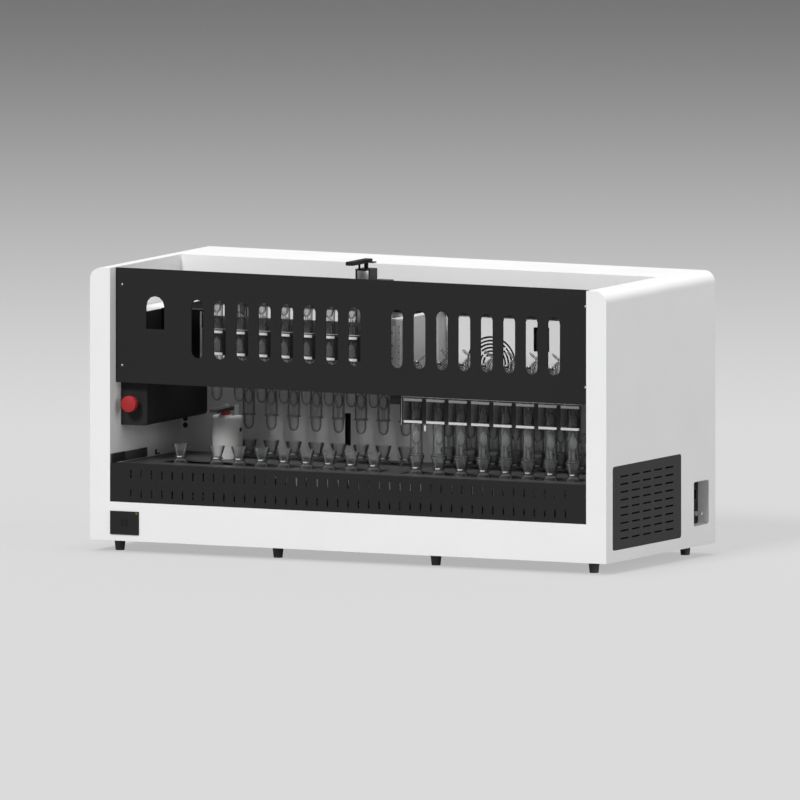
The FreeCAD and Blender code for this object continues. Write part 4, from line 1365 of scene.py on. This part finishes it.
@dataclass
class Studio:
    """Floor, backdrop, lights and camera."""

    azimuth: float = 26.39
    elevation: float = 5.587
    centre: Point = (703.5, 301.0, 349.0)
    width: float = 1.9714
    distance: float = 8.0
    near_grey: Colour = (0.182, 0.182, 0.182)
    far_grey: Colour = (0.046, 0.046, 0.046)
    near_glow: Colour = (0.437, 0.437, 0.437)
    far_glow: Colour = (0.112, 0.112, 0.112)
    thrown_grey: Colour = (0.32, 0.32, 0.32)
    fade_start: float = 3.1
    fade_length: float = 10.9
    lights: Sequence[tuple[str, Point, float, float]] = (
        ("key", (-0.06, -0.795, 0.603), 2.42, 14.0),
        ("fill", (0.968, -0.03, 0.25), 1.16, 40.0),
        ("top", (0.0, 0.05, 1.0), 1.78, 24.0),
    )

    def build(self) -> None:
        """Sets the stage at the photograph's angle."""
        self.add_floor()
        self.add_lights()
        self.add_camera()
        scene = bpy.context.scene
        scene.view_settings.view_transform = "Standard"

    def backdrop(self) -> bpy.types.Material:
        """Pale grey floor that darkens into the distance, and darker in what it throws back."""
        shader = Shader("studio_grey")
        turn = math.radians(self.azimuth)
        distance = shader.along(1) * math.cos(turn) - shader.along(0) * math.sin(turn)
        share = ((distance - self.fade_start) / self.fade_length).clamped()
        eased = share * share * (3.0 - share * 2.0) * 0.5 + share * 0.5
        cloud = shader.noise(1.2, 2.0)
        painted = shader.mix(eased, self.near_grey, self.far_grey)
        glow = shader.mix(eased, self.near_glow, self.far_glow)
        path = shader.node("ShaderNodeLightPath", {})
        looked_at = Value(shader.tree, path.outputs["Is Camera Ray"])
        shader.set(
            Base_Color=shader.mix(looked_at, self.thrown_grey, painted),
            Emission_Color=shader.mix(looked_at, (0.0, 0.0, 0.0), glow),
            Emission_Strength=1.0,
            Roughness=0.9 + (cloud - 0.5) * 0.05,
            Specular_IOR_Level=0.0,
        )
        return shader.material

    def add_floor(self) -> None:
        """A wide floor."""
        Bench.clear()
        bpy.ops.mesh.primitive_plane_add(size=80, location=(0, 0, 0))
        floor = bpy.context.object
        floor.name = "studio_floor"
        Bench.settle(floor)
        dress(floor, self.backdrop())

    def add_lights(self) -> None:
        """A key from the upper left, a fill from the right, a top light and a dim sky."""
        world = bpy.data.worlds.new("studio_sky")
        bpy.context.scene.world = world
        world.use_nodes = True
        tree = world.node_tree
        tree.nodes.clear()
        output = tree.nodes.new("ShaderNodeOutputWorld")
        sky = tree.nodes.new("ShaderNodeBackground")
        ramp = tree.nodes.new("ShaderNodeValToRGB")
        ramp.color_ramp.elements[0].position = 0.0
        ramp.color_ramp.elements[0].color = (0.22, 0.22, 0.22, 1)
        ramp.color_ramp.elements[1].position = 0.9
        ramp.color_ramp.elements[1].color = (0.40, 0.40, 0.40, 1)
        direction = tree.nodes.new("ShaderNodeTexCoord")
        split = tree.nodes.new("ShaderNodeSeparateXYZ")
        tree.links.new(direction.outputs["Generated"], split.inputs[0])
        tree.links.new(split.outputs["Z"], ramp.inputs["Fac"])
        tree.links.new(ramp.outputs["Color"], sky.inputs["Color"])
        tree.links.new(sky.outputs[0], output.inputs["Surface"])
        for name, source, strength, spread in self.lights:
            lamp = bpy.data.lights.new(name, "SUN")
            lamp.energy = strength
            lamp.angle = math.radians(spread)
            holder = bpy.data.objects.new(name, lamp)
            holder.rotation_euler = (-Vector(source)).to_track_quat("-Z", "Y").to_euler()
            bpy.context.scene.collection.objects.link(holder)

    def add_camera(self) -> None:
        """A parallel camera at the photograph's angle."""
        data = bpy.data.cameras.new("camera")
        data.type = "ORTHO"
        data.ortho_scale = self.width
        data.clip_end = 40
        camera = bpy.data.objects.new("camera", data)
        azimuth, elevation = math.radians(self.azimuth), math.radians(self.elevation)
        outward = Vector((
            math.cos(elevation) * math.sin(azimuth),
            -math.cos(elevation) * math.cos(azimuth),
            math.sin(elevation),
        ))
        camera.location = Vector(place(*self.centre)) + outward * self.distance
        camera.rotation_euler = (-outward).to_track_quat("-Z", "Y").to_euler()
        bpy.context.scene.collection.objects.link(camera)
        bpy.context.scene.camera = camera


def main() -> None:
    """Builds the sub-assemblies in order."""
    logging.basicConfig(level=logging.INFO, format="%(name)s: %(message)s")
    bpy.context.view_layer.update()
    palette = Palette()
    Cabinet(palette).build()
    FrontPanels(palette).build()
    PowerPanel(palette).build()
    SideConnections(palette).build()
    DosingHousing(palette).build()
    for bank in Bank:
        CondenserRack(palette, bank).build()
        labelled = (1, 2, 4) if bank is Bank.REAR_RIGHT else ()
        FlaskRow(palette, f"{bank.label}_flasks", bank.first, bank.row, PLACES, labelled).build()
    FlaskRow(palette, "station_flask", 180.0, FRONT_ROW, 1).build()
    LiftRails(palette).build()
    Fan(palette).build()
    Robot(palette).build()
    RinsePump(palette).build()
    Studio().build()


if __name__ == "__main__":
    main()
